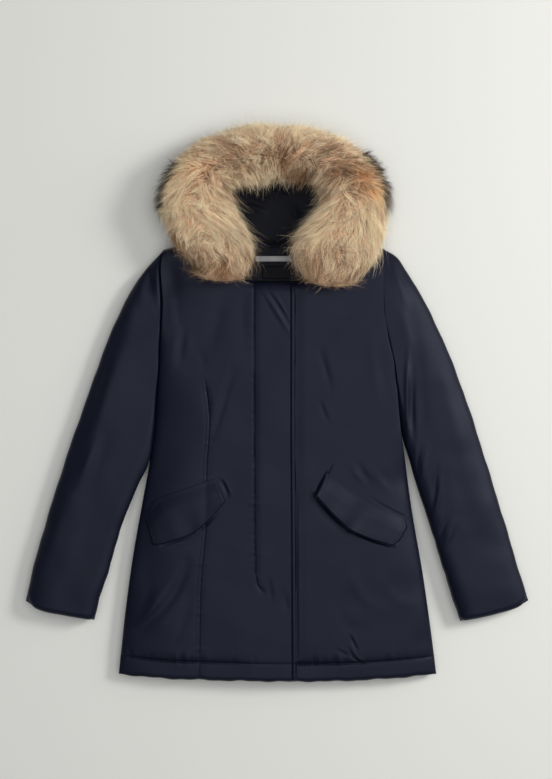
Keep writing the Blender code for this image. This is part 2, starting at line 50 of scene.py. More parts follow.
# Neighbours are a gap apart, half of it on each side of a seam. Upper and lower panels meet at
# MID. A front is fullest in its middle, and falls by FRONT_FALL out to half the chest.
GAP = 0.3
SEAM = GAP / 2
MID = 18.0
TOP_LEVEL = MID + SEAM
UNDER_LEVEL = MID - SEAM
FRONT_FILL = 28.0
FRONT_FALL = 6.0
HALF_CHEST = 290.0
SLEEVE_FILL = 25.0
LEAST_THICKNESS = 3.0
# How fast folds and stitches come in as a panel thickens from its edge.
FRONT_DETAIL = 1.5
SLEEVE_DETAIL = 1.3

# Lap of the wearer's right front over the left front: its width and its height.
LAP = 22.0
LAP_LEVEL = 30.0

# Hem channel: its depth from the edge, how far above it the panel is full, its rounded edge, and
# the dip along its stitched line, as a share of the fill for each millimetre, and a width.
HEM_DEPTH = 34.0
HEM_RISE = 22.0
HEM_EDGE = (0.5, 9.0)
HEM_DIP = (0.022, 3.0)
# Along the hem. Columns: x, depth of the stitched line, how full the channel is beside the panel.
HEM_LINE = (
    (-291, 1.6, 0.76), (-215, 2.6, 0.77), (-140, 1.8, 0.80), (-82, 1.1, 0.86), (-45, 0.5, 0.96),
    (33, 0.4, 0.96), (38, 2.8, 0.8), (110, 2.2, 0.8), (180, 1.1, 0.84), (293, 1.4, 0.82),
)

# Share of the full thickness that is left at an edge, and the width over which it rounds.
RIGHT_SIDE_EDGE = (0.11, 105.0)
LEFT_SIDE_EDGE = (0.11, 60.0)
# An armhole's has two shares, for the shoulder and for the underarm, which meet at its chest.
ARMHOLE_CHEST = (0.52, 0.84)
RIGHT_ARMHOLE_EDGE = (0.97, 0.5, 26.0)
LEFT_ARMHOLE_EDGE = (0.985, 0.96, 10.0)
UNDER_ARMHOLE_EDGE = (0.62, 0.62, 18.0)
# A sleeve head has two widths as well, after the share that is left all over its upper part.
RIGHT_SLEEVE_HEAD = (0.84, 0.3, 0.95, 15.0, 24.0)
LEFT_SLEEVE_HEAD = (1.0, 0.99, 0.5, 18.0, 16.0)
SLEEVE_HEAD_LENGTH = 230.0
NECK_EDGE = (0.6, 22.0)
FRONT_EDGE = (0.975, 4.0)
RIGHT_SLEEVE_EDGES = ((0.12, 60.0), (0.66, 20.0))
LEFT_SLEEVE_EDGES = ((0.12, 105.0), (0.32, 32.0))
CUFF_EDGE = (0.5, 11.0)
UNDER_EDGE = (0.16, 30.0)
UNDER_SEAM = (0.62, 18.0)
UNDER_HEM = (0.45, 14.0)
UNDER_CUFF = (0.45, 16.0)
# Down each side of the body: the armhole's length, and how far down the side seam's rounding
# starts. It comes in over SIDE_BLEND.
RIGHT_BODY = (249.0, 190.0)
LEFT_BODY = (253.0, 318.0)
SIDE_BLEND = 120.0

# Outlines in plan: points (x, y). A point given twice is a corner.
RIGHT_ARMHOLE = ((-209, 282), (-212, 261), (-209, 182), (-215, 100), (-220, 35))
RIGHT_SIDE = ((-220, 35), (-228, -66), (-235, -112), (-245, -167), (-265, -280), (-279, -383), (-291, -496))
LEFT_ARMHOLE = ((197, 284), (195, 212), (197, 169), (204, 120), (214, 77), (219, 35))
LEFT_SIDE = ((219, 35), (226, -42), (235, -102), (248, -195), (267, -305), (283, -416), (293, -496))
RIGHT_BODY_SIDE = RIGHT_ARMHOLE[:-1] + RIGHT_SIDE
LEFT_BODY_SIDE = LEFT_ARMHOLE[:-1] + LEFT_SIDE
RIGHT_HEM = ((-291, -496), (-215, -503), (-142, -506), (-50, -508), (35, -509))
LEFT_HEM = ((13, -509), (125, -508), (226, -502), (293, -496))
RIGHT_FRONT_TOP = (
    (-209, 282), (-108, 312), (-108, 312), (-95, 268), (-70, 237), (-40, 223), (-40, 223), (32, 222),
)
LEFT_FRONT_TOP = ((10, 222), (40, 222), (40, 222), (72, 237), (94, 268), (105, 311), (105, 311), (197, 284))
FRONT_EDGE_LINE = ((32, 222), (32, -65), (35, -509))
BACK_TOP = (
    (-209, 282), (-109, 313), (-109, 313), (-64, 283), (-4, 274), (62, 283), (105, 313), (105, 313),
    (197, 284),
)
BACK_HEM = ((-291, -496), (-142, -506), (29, -509), (125, -508), (293, -496))
RIGHT_SLEEVE_OUTER = (
    (-209, 282), (-241, 247), (-260, 221), (-307, 127), (-344, 26), (-383, -85), (-418, -195), (-449, -305),
    (-462, -362),
)
RIGHT_SLEEVE_INNER = (
    (-220, 35), (-228, -66), (-232.5, -96), (-240, -119), (-251, -140), (-268, -179), (-287, -228),
    (-309, -305), (-328, -364), (-336, -397),
)
RIGHT_CUFF = ((-462, -362), (-442, -375), (-388, -388), (-336, -397))
LEFT_SLEEVE_OUTER = (
    (197, 284), (219, 271), (236, 247), (259, 210), (309, 109), (351, -2), (386, -112), (420, -223),
    (453, -333), (462, -361),
)
LEFT_SLEEVE_INNER = (
    (219, 35), (226.5, -42), (235, -76), (243, -102), (251, -131), (260, -160), (272, -195),
    (298, -278), (324, -361), (337, -399),
)
LEFT_CUFF = ((462, -361), (448, -370), (399, -386), (337, -399))

# Folds, each a soft trough (depth below 0) or ridge (above 0) along a bent line.
# Columns: x0, y0, x1, y1, x2, y2, half width, depth.
RIGHT_FRONT_FOLDS = (
    (-134, 62, -137, 84, -147, 106, 7, -0.7),
    (-118, -66, -96, 10, -80, 62, 7, -1.7),
    (-170, 136, -174, 108, -178, 80, 6, -1.1),
    (-183, 144, -187, 108, -189, 72, 7, 1.0),
    (-196, 206, -193, 170, -192, 140, 6, 0.8),
    (-243, -258, -236, -312, -262, -376, 22, -1.2),
    (-190, 192, -196, 228, -199, 266, 20, -6.0),
    (-102, -139, -95, -152, -89, -167, 2.4, -4.0),
    (-16, -318, -12, -340, -10, -362, 4, -1.1),
    (14, -345, 16, -360, 17, -376, 5, -1.0),
    (-164, -288, -192, -352, -250, -416, 9, -2.0),
    (-186, -300, -212, -350, -262, -392, 10, 1.2),
    (-219, -362, -236, -385, -256, -404, 4, 1.5),
    (-232, -330, -236, -350, -250, -384, 9, -1.0),
    (-159, -352, -172, -398, -190, -440, 9, -0.9),
    (-243, -204, -230, -187, -217, -171, 2.0, 1.4),
    (-34, 219, -5, 177, 24, 128, 2.7, 2.1),
    (-22, 213, 2, 181, 23, 147, 1.9, -1.6),
    (-14, 216, 4, 189, 19, 161, 2.4, 1.0),
    (-22, 190, -9, 166, 8, 139, 3.0, -0.8),
    (-60, 205, -62, 160, -60, 100, 9, -0.9),
    (-104, 190, -110, 150, -120, 110, 12, -1.2),
)
LEFT_FRONT_FOLDS = (
    (78, 100, 88, 66, 98, 28, 6, -1.5),
    (78, 4, 85, -14, 93, -31, 4, -1.3),
    (172, -172, 204, -191, 234, -206, 1.6, -2.2),
    (136, -292, 150, -344, 190, -375, 10, 1.2),
    (123, -348, 121, -396, 158, -410, 11, -1.0),
    (190, -318, 215, -352, 246, -368, 10, 0.8),
    (134, -422, 140, -436, 147, -449, 2.0, -3.2),
    (131, -446, 143, -465, 160, -474, 2.2, -3.6),
    (110, -448, 122, -455, 132, -459, 2.6, -1.5),
    (101, -110, 96, -120, 91, -131, 1.8, -1.8),
    (137, -112, 145, -128, 156, -143, 5, 1.2),
    (150, -108, 160, -128, 172, -146, 5, -1.0),
    (176, -120, 188, -140, 204, -158, 6, 1.0),
    (33.2, -160, 33.8, -320, 35.0, -500, 3.6, -1.5),
    (172, 120, 178, 60, 186, 0, 9, 1.0),
)
RIGHT_SLEEVE_FOLDS = (
    (-285, 150, -338, 8, -384, -138, 17, -4.2),
    (-329, -62, -345, -105, -361, -148, 9, 2.4),
    (-300, 90, -318, 20, -332, -40, 14, 1.8),
    (-404, -160, -420, -210, -436, -260, 12, -1.6),
    (-229, 196, -234, 228, -237, 264, 10, -6.5),
    (-352, -190, -372, -250, -390, -310, 16, 1.3),
)
LEFT_SLEEVE_FOLDS = (
    (240, 96, 237, 20, 241, -58, 4.5, 2.8),
    (250, 60, 247, -10, 250, -70, 5, -1.8),
    (222, 190, 238, 130, 246, 90, 9, 1.2),
    (214, 250, 226, 214, 238, 176, 7, 1.3),
    (250, 120, 262, 40, 266, -40, 10, -1.4),
    (276, -74, 270, -104, 266, -134, 4, 1.5),
    (262, -76, 258, -100, 258, -124, 4, -1.5),
    (302, -136, 295, -172, 285, -207, 5, 1.7),
    (292, -112, 288, -150, 287, -186, 5, -1.9),
    (326, -210, 316, -240, 303, -268, 5, 1.7),
    (314, -200, 304, -226, 298, -246, 5, -1.8),
    (330, -120, 344, -180, 356, -240, 14, -1.6),
    (300, 60, 322, -20, 342, -100, 16, 1.5),
)
LINING_FOLDS = (
    (-66, 350, -46, 341, -22, 333, 4, -1.6),
    (-64, 366, -44, 362, -22, 352, 6, 3.6),
    (-52, 388, -36, 380, -14, 374, 5, 3.0),
    (-50, 322, -20, 318, 12, 322, 6, 2.4),
    (24, 368, 38, 340, 34, 312, 7, 3.0),
    (-16, 398, 8, 386, 32, 380, 6, 2.2),
    (-40, 306, 0, 300, 36, 306, 5, 2.0),
)

# A fold keeps this share of its depth at its ends. Beside it runs a swell: its share of the
# depth, then its distance from the fold and its width, both in widths of the fold.
FOLD_ENDS = 0.3
FOLD_SWELL = (0.35, 1.9, 1.3)

# Topstitching of the lapped front and the dart, and the hook at the stitching's foot.
PLACKET_WIDTH = 74.0
PLACKET_STITCH = 2.5
LEFT_HEM_START = 42.0
EDGE_STITCH = 6.6
PLACKET_FOOT = -317.0
PLACKET_HOOK = ((-38, -317), (-35, -332), (-26, -343))
DART = ((-133, 50), (-124, -16), (-129, -118), (-130, -213), (-140, -339), (-142, -443), (-143, -506))
DART_STITCH = 5.5
DART_LENGTH = 560.0
# Grooves along stitched lines, each a sum of bells. Columns: depth, half width.
GROOVES = {
    "placket": ((2.2, 1.5),),
    "placket, near side": ((1.7, 8.0),),
    "placket, far side": ((0.5, 2.5),),
    "placket hook": ((1.9, 1.6), (0.8, 6.0)),
    "front edge": ((3.4, 0.95),),
    "dart": ((1.2, 1.3), (0.8, 7.0)),
    "dart stitches": ((0.45, 1.1),),
    "front hem": ((1.0, 1.4), (0.2, 6.0)),
    "back hem": ((0.9, 2.0), (0.5, 8.0)),
    "flap": ((0.3, 1.2),),
    "trim": ((0.3, 0.7),),
}

# Pocket flaps. A flap is sewn on along its upper edge.
RIGHT_FLAP = {
    "upper": ((-243, -204), (-217, -171), (-217, -171), (-114, -136)),
    "lower": ((-228, -257), (-208, -255), (-208, -255), (-153, -235), (-130, -217), (-95, -177)),
    "first": ((-243, -204), (-228, -257)),
    "last": ((-114, -136), (-95, -177)),
}
LEFT_FLAP = {
    "upper": ((91, -125), (169, -177), (233, -208)),
    "lower": ((71, -167), (106, -204), (135, -229), (211, -259)),
    "first": ((91, -125), (71, -167)),
    "last": ((233, -208), (239, -224), (239, -224), (226, -247), (226, -247), (211, -259)),
}
# How its thickness comes in from the sewn edge, and the power by which it lifts from there.
FLAP_THICKNESS = 4.2
FLAP_CLEARANCE = 0.4
FLAP_SEAM = (-2.0, 30.0)
FLAP_CURL = 1.7
# Hollows that a flap's free edges press in the panel below it. Columns as the folds'.
RIGHT_FLAP_HOLLOWS = (
    (-211, -257.5, -181, -247.5, -151, -237, 2.2, -4.6),
    (-150, -236.5, -127, -217, -109, -197, 2.0, -2.6),
    (-206, -262, -178, -253, -148, -243, 7.0, -1.4),
)
LEFT_FLAP_HOLLOWS = (
    (71.5, -168, 105, -203.5, 134, -229.5, 4.4, -9.5),
    (129, -227.5, 170, -245.5, 212, -260, 2.6, -8.0),
    (91.5, -124.5, 81, -146, 71, -167, 2.1, -6.0),
    (66, -173, 96, -208, 131, -237, 8.0, -2.2),
    (266, -312, 268.5, -325, 271, -339, 1.5, -11.0),
)
# Lift of each flap's free edge off the panel, at its first end, its middle and its last end.
RIGHT_FLAP_LIFTS = (1.5, 5.0, 4.0)
LEFT_FLAP_LIFTS = (10.0, 9.0, 4.0)
FLAP_EDGE = (0.4, 5.0)
FLAP_STITCH = 6.5

# Hood, as a bowl. Columns: foot x, foot y, rim height.
HOOD = (
    (-4, 275, 17.5), (-64, 284.5, 17.5), (-112, 316, 26), (-143, 334, 38), (-161, 362, 45), (-163, 400, 46),
    (-143, 428, 46), (-104, 455, 46), (-56, 469, 46), (-4, 473, 46), (52, 468, 46), (100, 456, 46),
    (138, 427, 46), (156, 392, 46), (153, 358, 45), (137, 332, 38), (109, 316, 26), (62, 284.5, 17.5),
)
HOOD_CENTRE = (-4, 375)
HOOD_FLOOR = 11.0
HOOD_AROUND = 160
# Columns: distance in from the foot, share of the rim height, share of the inside height.
HOOD_OUTSIDE = ((45, 0), (22, 0), (8, 0.05), (2, 0.16), (0, 0.34), (1, 0.6), (4, 0.86), (8, 0.97), (12, 1.0))
HOOD_INSIDE = ((16, 0.96), (17.5, 0.75), (18, 0.5), (20, 0.25), (26, 0.07), (38, 0), (60, 0))
LINING_CLEARANCE = 0.8
LINING_THICKNESS = 2.0

# Fur ruff. Columns: outer x, outer y, inner x, inner y, height above its seat, droop.
RUFF = (
    (-122, 224, -98, 222, 14, 0),
    (-136, 233, -78, 230, 34, 0),
    (-157, 259, -53, 246, 45, 0),
    (-187, 291, -44, 282, 50, 0),
    (-206, 330, -52, 308, 53, 6),
    (-213, 372, -74, 356, 55, 22),
    (-204, 412, -86, 384, 56, 26),
    (-178, 448, -74, 395, 57, 26),
    (-129, 487, -50, 399, 57, 26),
    (-66, 506, -27, 402, 57, 26),
    (-4, 509, -4, 405, 57, 26),
    (62, 503, 27, 406, 57, 26),
    (122, 484, 52, 404, 57, 26),
    (170, 446, 72, 394, 57, 26),
    (195, 405, 79, 370, 56, 26),
    (202, 360, 66, 344, 55, 22),
    (196, 315, 44, 318, 53, 6),
    (184, 275, 26, 290, 50, 0),
    (162, 244, 36, 254, 46, 0),
    (134, 226, 58, 230, 38, 0),
    (106, 213, 80, 213, 14, 0),
)
RUFF_SEAT = 47.2
# Half width of the hood's wall under the ruff, which the ruff's droop stays clear of.
WALL_FOOT = 25.0

FACING = {
    "upper": ((-82, 292.5), (-60, 291), (-4, 290), (58, 291), (80, 291)),
    "lower": (
        (-81, 252), (-66, 236.5), (-40, 224.2), (-40, 224.2), (42, 224.2), (42, 224.2), (66, 235), (81, 250),
    ),
    "first": ((-82, 292.5), (-81, 252)),
    "last": ((80, 291), (81, 250)),
}
FACING_THICKNESS = 2.2
# Label and hanger loop. Columns: node, material slot, centre, length, width, thickness, rise of its
# middle, width over which its rim rounds.
TRIMS = (
    ("neck_label", "label_cloth", (0.0, 242.0), 54.0, 24.0, 1.2, 0.0, 1.2),
    ("hanger_loop", "grey_tape", (-6.0, 267.0), 66.0, 10.0, 2.2, 1.2, 4.6),
)
TRIM_STITCH = 2.2

# Grids: stops along an edge, counted back from its far end when negative, and the number of
# cells between each pair of stops.
FRONT_COLUMNS = (
    (0, 0.3, 14, 96, 152, -84, -64, -LAP - 7, -LAP - 5, -11, -2, -0.2, None),
    (1, 7, 27, 42, 22, 16, 12, 1, 7, 14, 3, 1),
)
STEP_COLUMN = sum(FRONT_COLUMNS[1][:7])
LEFT_COLUMNS = (
    (0, LAP - 1, LAP, LAP + 0.3, LAP + 0.5, LAP + 12, LAP + 50, -14, -0.3, None),
    (3, 1, 1, 1, 12, 18, 76, 14, 1),
)
BODY_ROWS = ((0, 14, -HEM_DEPTH - 8, -HEM_DEPTH + 6, -6, None), (6, 255, 11, 9, 4))
BACK_COLUMNS = ((0, 14, -14, None), (5, 74, 5))
BACK_ROWS = ((0, 14, -14, None), (5, 100, 5))
SLEEVE_COLUMNS = ((0, 16, -16, None), (7, 38, 7))
SLEEVE_ROWS = ((0, 0.3, 14, -12, None), (1, 7, 190, 6))
UNDER_COLUMNS = ((0, 12, -12, None), (4, 18, 4))
UNDER_ROWS = ((0, 12, -12, None), (4, 80, 4))
FLAP_COLUMNS = ((0, 9, -9, None), (9, 50, 9))
FLAP_ROWS = ((0, 7, -9, None), (6, 16, 9))
FACING_COLUMNS = ((0, None), (70,))
FACING_ROWS = ((0, None), (18,))


# ------------ shapes


def line_lengths(line):
    """Distance of each point of a line from its start: the running sum of its steps in plan."""
    return np.r_[0, np.cumsum(np.linalg.norm(np.diff(line[:, :2], axis=0), axis=1))]


def curve(points):
    """Cubic pieces through the points, whose slope at each is the mean slope of its neighbours.

    A point given twice is a corner, where one run ends and the next starts.
    """
    points = np.array(points, float)
    corners = [i for i in range(1, len(points)) if np.allclose(points[i], points[i - 1])]
    dense = []
    for run in np.split(points, corners):
        if len(run) == 2:
            dense.append(run)
            continue
        lengths = line_lengths(run)
        slopes = np.gradient(run, lengths, axis=0)
        at = np.linspace(0, lengths[-1], 40 * len(run))
        i = np.clip(np.searchsorted(lengths, at, "right") - 1, 0, len(run) - 2)
        span = (lengths[i + 1] - lengths[i])[:, None]
        t = (at - lengths[i])[:, None] / span
        dense.append(
            (2 * t**3 - 3 * t**2 + 1) * run[i]
            + (t**3 - 2 * t**2 + t) * span * slopes[i]
            + (3 * t**2 - 2 * t**3) * run[i + 1]
            + (t**3 - t**2) * span * slopes[i + 1]
        )
    return np.concatenate(dense)


def read_along(line, at):
    """Rows of a line's table at the given distances along it."""
    lengths = line_lengths(line)
    return np.stack([np.interp(at, lengths, column) for column in line.T], axis=-1)


def stations(line, stops, cells):
    """Points of the line at the given stops, with evenly spaced ones between them."""
    total = line_lengths(line)[-1]
    stops = [total if s is None else s if s >= 0 else total + s for s in stops]
    spans = zip(stops, stops[1:], cells)
    at = np.concatenate([np.linspace(a, b, count, endpoint=False) for a, b, count in spans] + [[total]])
    return read_along(line, at), at / total


def patch(upper, lower, first, last, columns, rows):
    """Coons patch: the blend across, plus the blend down, less the blend of the corners."""
    upper, across = stations(curve(upper), *columns)
    lower, across_low = stations(curve(lower), *columns)
    first, down = stations(curve(first), *rows)
    last, down_last = stations(curve(last), *rows)
    u = ((across + across_low) / 2)[None, :, None]
    v = ((down + down_last) / 2)[:, None, None]
    sides = (1 - u) * first[:, None] + u * last[:, None]
    ends = (1 - v) * upper[None] + v * lower[None]
    corners = (1 - v) * ((1 - u) * upper[0] + u * upper[-1]) + v * ((1 - u) * lower[0] + u * lower[-1])
    return sides + ends - corners


def shifted(points, dx, dy=0.0):
    """The points, moved in plan."""
    return tuple((x + dx, y + dy) for x, y in points)


def rise(distance, width):
    """From 0 at an edge to 1 at the given width, along a quarter circle."""
    return np.sqrt(1 - (1 - np.clip(distance / width, 0, 1)) ** 2)


def rim(distance, edge):
    """Share of the full thickness at a distance from an edge."""
    share, width = edge
    return share + (1 - share) * rise(distance, width)


def bell(distance, width):
    """1 on a line, falling to 0 over a few widths: e to the power of -(distance / width) squared."""
    return np.exp(-((distance / width) ** 2))


def smooth(x, low, high):
    """From 0 at low to 1 at high, level at both: 3t² - 2t³ of the way t between them."""
    t = np.clip((x - low) / (high - low), 0, 1)
    return t * t * (3 - 2 * t)


def groove(away, name):
    """Height of a stitched line's groove, below 0: its row of GROOVES as a sum of bells."""
    return -sum(depth * bell(away, width) for depth, width in GROOVES[name])


def unit(v):
    """Vectors of length 1 in the same directions."""
    return v / np.maximum(np.linalg.norm(v, axis=-1, keepdims=True), 1e-9)


def edge_distances(grid):
    """Distance of each point of a grid from its first and last columns and rows."""
    sides = (grid[:, :1], grid[:, -1:], grid[:1], grid[-1:])
    return [np.linalg.norm(grid - side, axis=2) for side in sides]


def body_edge(grid, column, body, armhole, side):
    """Edge settings down a body side: the armhole's as far as the underarm, then the side seam's."""
    length, start = body
    down = line_lengths(grid[:, column])[:, None]
    high, low, width = armhole
    share = high + (low - high) * smooth(down / length, *ARMHOLE_CHEST)
    t = smooth(down, start, start + SIDE_BLEND)
    return tuple(a + (b - a) * t for a, b in zip((share, width), side))


def front_edge_at(y):
    """x of the lapped front's edge at each y."""
    x, down = np.array(FRONT_EDGE_LINE, float)[::-1].T
    return np.interp(y, down, x)


def hem_line(x):
    """Depth of the hem's stitched line, and how full its channel is, at each x."""
    table = np.array(HEM_LINE, float).T
    return np.interp(x, table[0], table[1]), np.interp(x, table[0], table[2])


def hem_share(distance, x):
    """The channel at the hem, then the panel rising from its stitched line."""
    deep, full = hem_line(x)
    beyond = distance - HEM_DEPTH
    channel = full * rim(distance, HEM_EDGE)
    panel = full + (1 - full) * rise(beyond, HEM_RISE)
    dip, width = HEM_DIP
    return np.where(beyond < 0, channel, panel) - dip * deep * bell(beyond, width)


def bent(row):
    """Nine points along the bent line (a quadratic curve) through a row's three points."""
    start, middle, end = np.array(row[:6], float).reshape(3, 2)
    control = 2 * middle - (start + end) / 2
    t = np.linspace(0, 1, 9)[:, None]
    return (1 - t) ** 2 * start + 2 * t * (1 - t) * control + t**2 * end


def from_line(grid, line):
    """Signed distance of each point from a polyline, and how far along it the nearest point is."""
    best = np.full(grid.shape[:2], np.inf)
    signed = np.zeros(grid.shape[:2])
    along = np.zeros(grid.shape[:2])
    lengths = line_lengths(line)
    for start, end, before, after in zip(line, line[1:], lengths, lengths[1:]):
        step = end - start
        t = np.clip((grid - start) @ step / (step @ step), 0, 1)
        offset = grid - start - t[..., None] * step
        away = np.linalg.norm(offset, axis=2)
        nearer = away < best
        side = np.sign(step[0] * offset[..., 1] - step[1] * offset[..., 0])
        best = np.where(nearer, away, best)
        signed = np.where(nearer, away * side, signed)
        along = np.where(nearer, before + t * (after - before), along)
    return signed, along / lengths[-1]


def folds(grid, table):
    """Sum of folds: a bell across each bent line with a lower swell on one side of it."""
    height = np.zeros(grid.shape[:2])
    share, beside, spread = FOLD_SWELL
    for row in table:
        width, depth = row[6:]
        away, along = from_line(grid, bent(row))
        across = bell(away, width) - share * bell(away - beside * width, spread * width)
        height += depth * across * (FOLD_ENDS + (1 - FOLD_ENDS) * np.sin(np.pi * along))
    return height


def swell(grid, seed, amount):
    """Soft unevenness of the padding: a sum of long waves in many directions."""
    rng = np.random.default_rng(seed)
    height = np.zeros(grid.shape[:2])
    for _ in range(14):
        turn, phase = rng.uniform(0, 2 * np.pi, 2)
        wave = rng.uniform(45, 150)
        across = grid @ np.array((np.cos(turn), np.sin(turn)))
        height += np.sin(2 * np.pi * across / wave + phase) * wave / 150
    return amount * height / 3


def pucker(away, along, seed, wave=13.0):
    """Small ripples that run out from a row of stitches and fade within 15 mm of it.

    Along the row two waves, one 1.7 times as long as the other, swell and fade over six waves.
    """
    phase = np.random.default_rng(seed).uniform(0, TURN, 3)
    first, second, slow = (
        np.sin(TURN * along / (wave * longer) + start) for longer, start in zip((1, 1.7, 6), phase)
    )
    return (first + 0.7 * second) * bell(away, 10.0) * (0.6 + 0.4 * slow)


# ------------ meshes


def add_object(name, data):
    """A new object in the scene."""
    obj = bpy.data.objects.new(name, data)
    bpy.context.scene.collection.objects.link(obj)
    return obj


def add_mesh(name, points, faces, material, uv=None):
    """A smooth mesh piece that rides on the coat. faces is a list of index arrays, one row a face."""
    mesh = bpy.data.meshes.new(name)
    counts = np.concatenate([np.full(len(group), group.shape[1]) for group in faces])
    corners = np.concatenate([group.reshape(-1) for group in faces]).astype(np.int32)
    mesh.vertices.add(len(points))
    mesh.vertices.foreach_set("co", (np.asarray(points, float) * MM).reshape(-1))
    mesh.loops.add(len(corners))
    mesh.loops.foreach_set("vertex_index", corners)
    mesh.polygons.add(len(counts))
    mesh.polygons.foreach_set("loop_start", np.r_[0, np.cumsum(counts)[:-1]].astype(np.int32))
    mesh.polygons.foreach_set("use_smooth", counts < 5)
    if uv is not None:
        layer = mesh.uv_layers.new(name="UVMap")
        layer.uv.foreach_set("vector", uv[corners].reshape(-1))
    mesh.update(calc_edges=True)
    mesh.validate()
    mesh.materials.append(material)
    obj = add_object(name, mesh)
    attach(obj, "root")
    return obj


def grid_quads(rows, columns, start=0):
    """Corners of the cells of a grid of points, facing up where the rows run downwards."""
    index = start + np.arange(rows * columns).reshape(rows, columns)
    return np.stack([index[1:, :-1], index[1:, 1:], index[:-1, 1:], index[:-1, :-1]], axis=2).reshape(-1, 4)


def rim_index(rows, columns):
    """Index of each point round the edge of a grid, clockwise from its first corner."""
    index = np.arange(rows * columns).reshape(rows, columns)
    return np.concatenate([index[0], index[1:, -1], index[-1, -2::-1], index[-2:0:-1, 0]])


def pad(name, grid, puffed, level, material, upward, step=None):
    """A padded panel: its puffed side, a wall round its edge and the flat side it lies on.

    step is (column, level) where the flat side climbs to lie over another piece.
    """
    rows, columns = puffed.shape
    loop = rim_index(rows, columns)
    flat = np.column_stack([grid.reshape(-1, 2)[loop], np.full(len(loop), level)])
    if step:
        high = loop % columns > step[0]
        flat[high, 2] = step[1]
    points = np.concatenate([np.column_stack([grid.reshape(-1, 2), puffed.reshape(-1)]), flat])
    base = rows * columns
    ring = base + np.arange(len(loop))
    wall = np.stack([loop, np.roll(loop, -1), np.roll(ring, -1), ring], axis=1)
    faces = [grid_quads(rows, columns), wall]
    if step:
        low = ring[~high]
        top = ring[high]
        cut = step[0] + 1
        faces += [np.roll(low, -cut)[None, ::-1], top[None, ::-1]]
        faces += [np.array([[low[cut - 1], low[cut], top[-1], top[0]]])]
    else:
        faces += [ring[None, ::-1]]
    if not upward:
        faces = [group[:, ::-1] for group in faces]
    obj = add_mesh(name, points, faces, material)
    return obj


def slab(name, grid, under, over, material):
    """A closed piece between two height grids, with a wall round its edge."""
    rows, columns = under.shape
    base = rows * columns
    plan = grid.reshape(-1, 2)
    loop = rim_index(rows, columns)
    points = np.concatenate([np.column_stack([plan, z.reshape(-1)]) for z in (over, under)])
    wall = np.stack([loop, np.roll(loop, -1), np.roll(loop, -1) + base, loop + base], axis=1)
    faces = [grid_quads(rows, columns), grid_quads(rows, columns, base)[:, ::-1], wall]
    return add_mesh(name, points, faces, material)


def skin(name, sections, material):
    """A closed skin through rings of equal length, with a face across each end ring."""
    count, around = sections.shape[:2]
    index = np.arange(count * around).reshape(count, around)
    turned = np.roll(index, -1, axis=1)
    quads = np.stack([index[:-1], turned[:-1], turned[1:], index[1:]], axis=2).reshape(-1, 4)
    faces = [quads, index[:1, ::-1], index[-1:]]
    return add_mesh(name, sections.reshape(-1, 3), faces, material)


# ------------ materials


# Woven cloths. Columns: name, darkest and lightest colour, roughness, yarns a metre, relief of the
# weave in metres, specular, sheen.
WOVEN_CLOTHS = (
    (
        "navy_cloth_shell", (0.0040, 0.0049, 0.0138), (0.0054, 0.0065, 0.0168),
        0.46, 1500.0, 0.00006, 0.2, 0.0,
    ),
    ("navy_thread", (0.0060, 0.0070, 0.0165), (0.0090, 0.0105, 0.0230), 0.4, 3000.0, 0.00003, 0.3, 0.0),
    (
        "navy_lining_cloth", (0.0024, 0.0026, 0.0038), (0.0048, 0.0050, 0.0066),
        0.55, 2200.0, 0.00004, 0.12, 0.0,
    ),
    ("label_weave", (0.0030, 0.0030, 0.0034), (0.0050, 0.0048, 0.0054), 0.55, 2600.0, 0.00004, 0.1, 0.0),
    ("tape_weave", (0.20, 0.195, 0.20), (0.44, 0.43, 0.43), 0.4, 1100.0, 0.0001, 0.25, 0.05),
)
# Hair and pelt. Columns: name, then four colours from the root of a hair to its tip, which lie at
# FUR_BANDS along it.
FUR_COLOURS = (
    ("long_hair", (0.28, 0.165, 0.10), (0.93, 0.66, 0.42), (1.0, 0.765, 0.52), (1.0, 0.82, 0.59)),
    ("underfur", (0.24, 0.145, 0.085), (0.62, 0.395, 0.24), (0.86, 0.58, 0.37), (0.92, 0.66, 0.45)),
    (
        "dark_tipped_hair",
        (0.16, 0.10, 0.06), (0.05, 0.035, 0.03), (0.02, 0.015, 0.015), (0.015, 0.012, 0.012),
    ),
    ("fur_skin", *[(0.34, 0.205, 0.125)] * 4),
)
FUR_BANDS = (0.0, 0.32, 0.66, 1.0)


def feed(tree, node, inputs):
    """Gives each named input of a node a number or a colour, or another node's output."""
    for label, value in inputs.items():
        if isinstance(value, bpy.types.NodeSocket):
            tree.links.new(value, node.inputs[label])
        else:
            node.inputs[label].default_value = value


def add_node(tree, kind, inputs=None, **settings):
    """A new shader node with its settings and inputs."""
    node = tree.nodes.new(kind)
    for label, value in settings.items():
        setattr(node, label, value)
    feed(tree, node, inputs or {})
    return node


def maths(tree, operation, *values):
    """The result of a sum, product or sine, of numbers and of other nodes' outputs."""
    return add_node(tree, "ShaderNodeMath", dict(enumerate(values)), operation=operation).outputs[0]


def noise(tree, place, scale, detail):
    """Noise at a place, from 0 to 1."""
    inputs = {"Vector": place, "Scale": scale, "Detail": detail}
    return add_node(tree, "ShaderNodeTexNoise", inputs).outputs["Fac"]


def colour_ramp(tree, share, stops):
    """The colour at a share of the way through the stops, each a place and a colour."""
    ramp = add_node(tree, "ShaderNodeValToRGB", {"Fac": share})
    elements = ramp.color_ramp.elements
    for place, _ in stops[1:-1]:
        elements.new(place)
    for element, (place, colour) in zip(elements, stops):
        element.position = place
        element.color = (*colour, 1)
    return ramp.outputs["Color"]


def new_material(name):
    """A new material, with its node tree and its shader."""
    material = bpy.data.materials.new(name)
    material.use_nodes = True
    return material, material.node_tree, material.node_tree.nodes["Principled BSDF"]


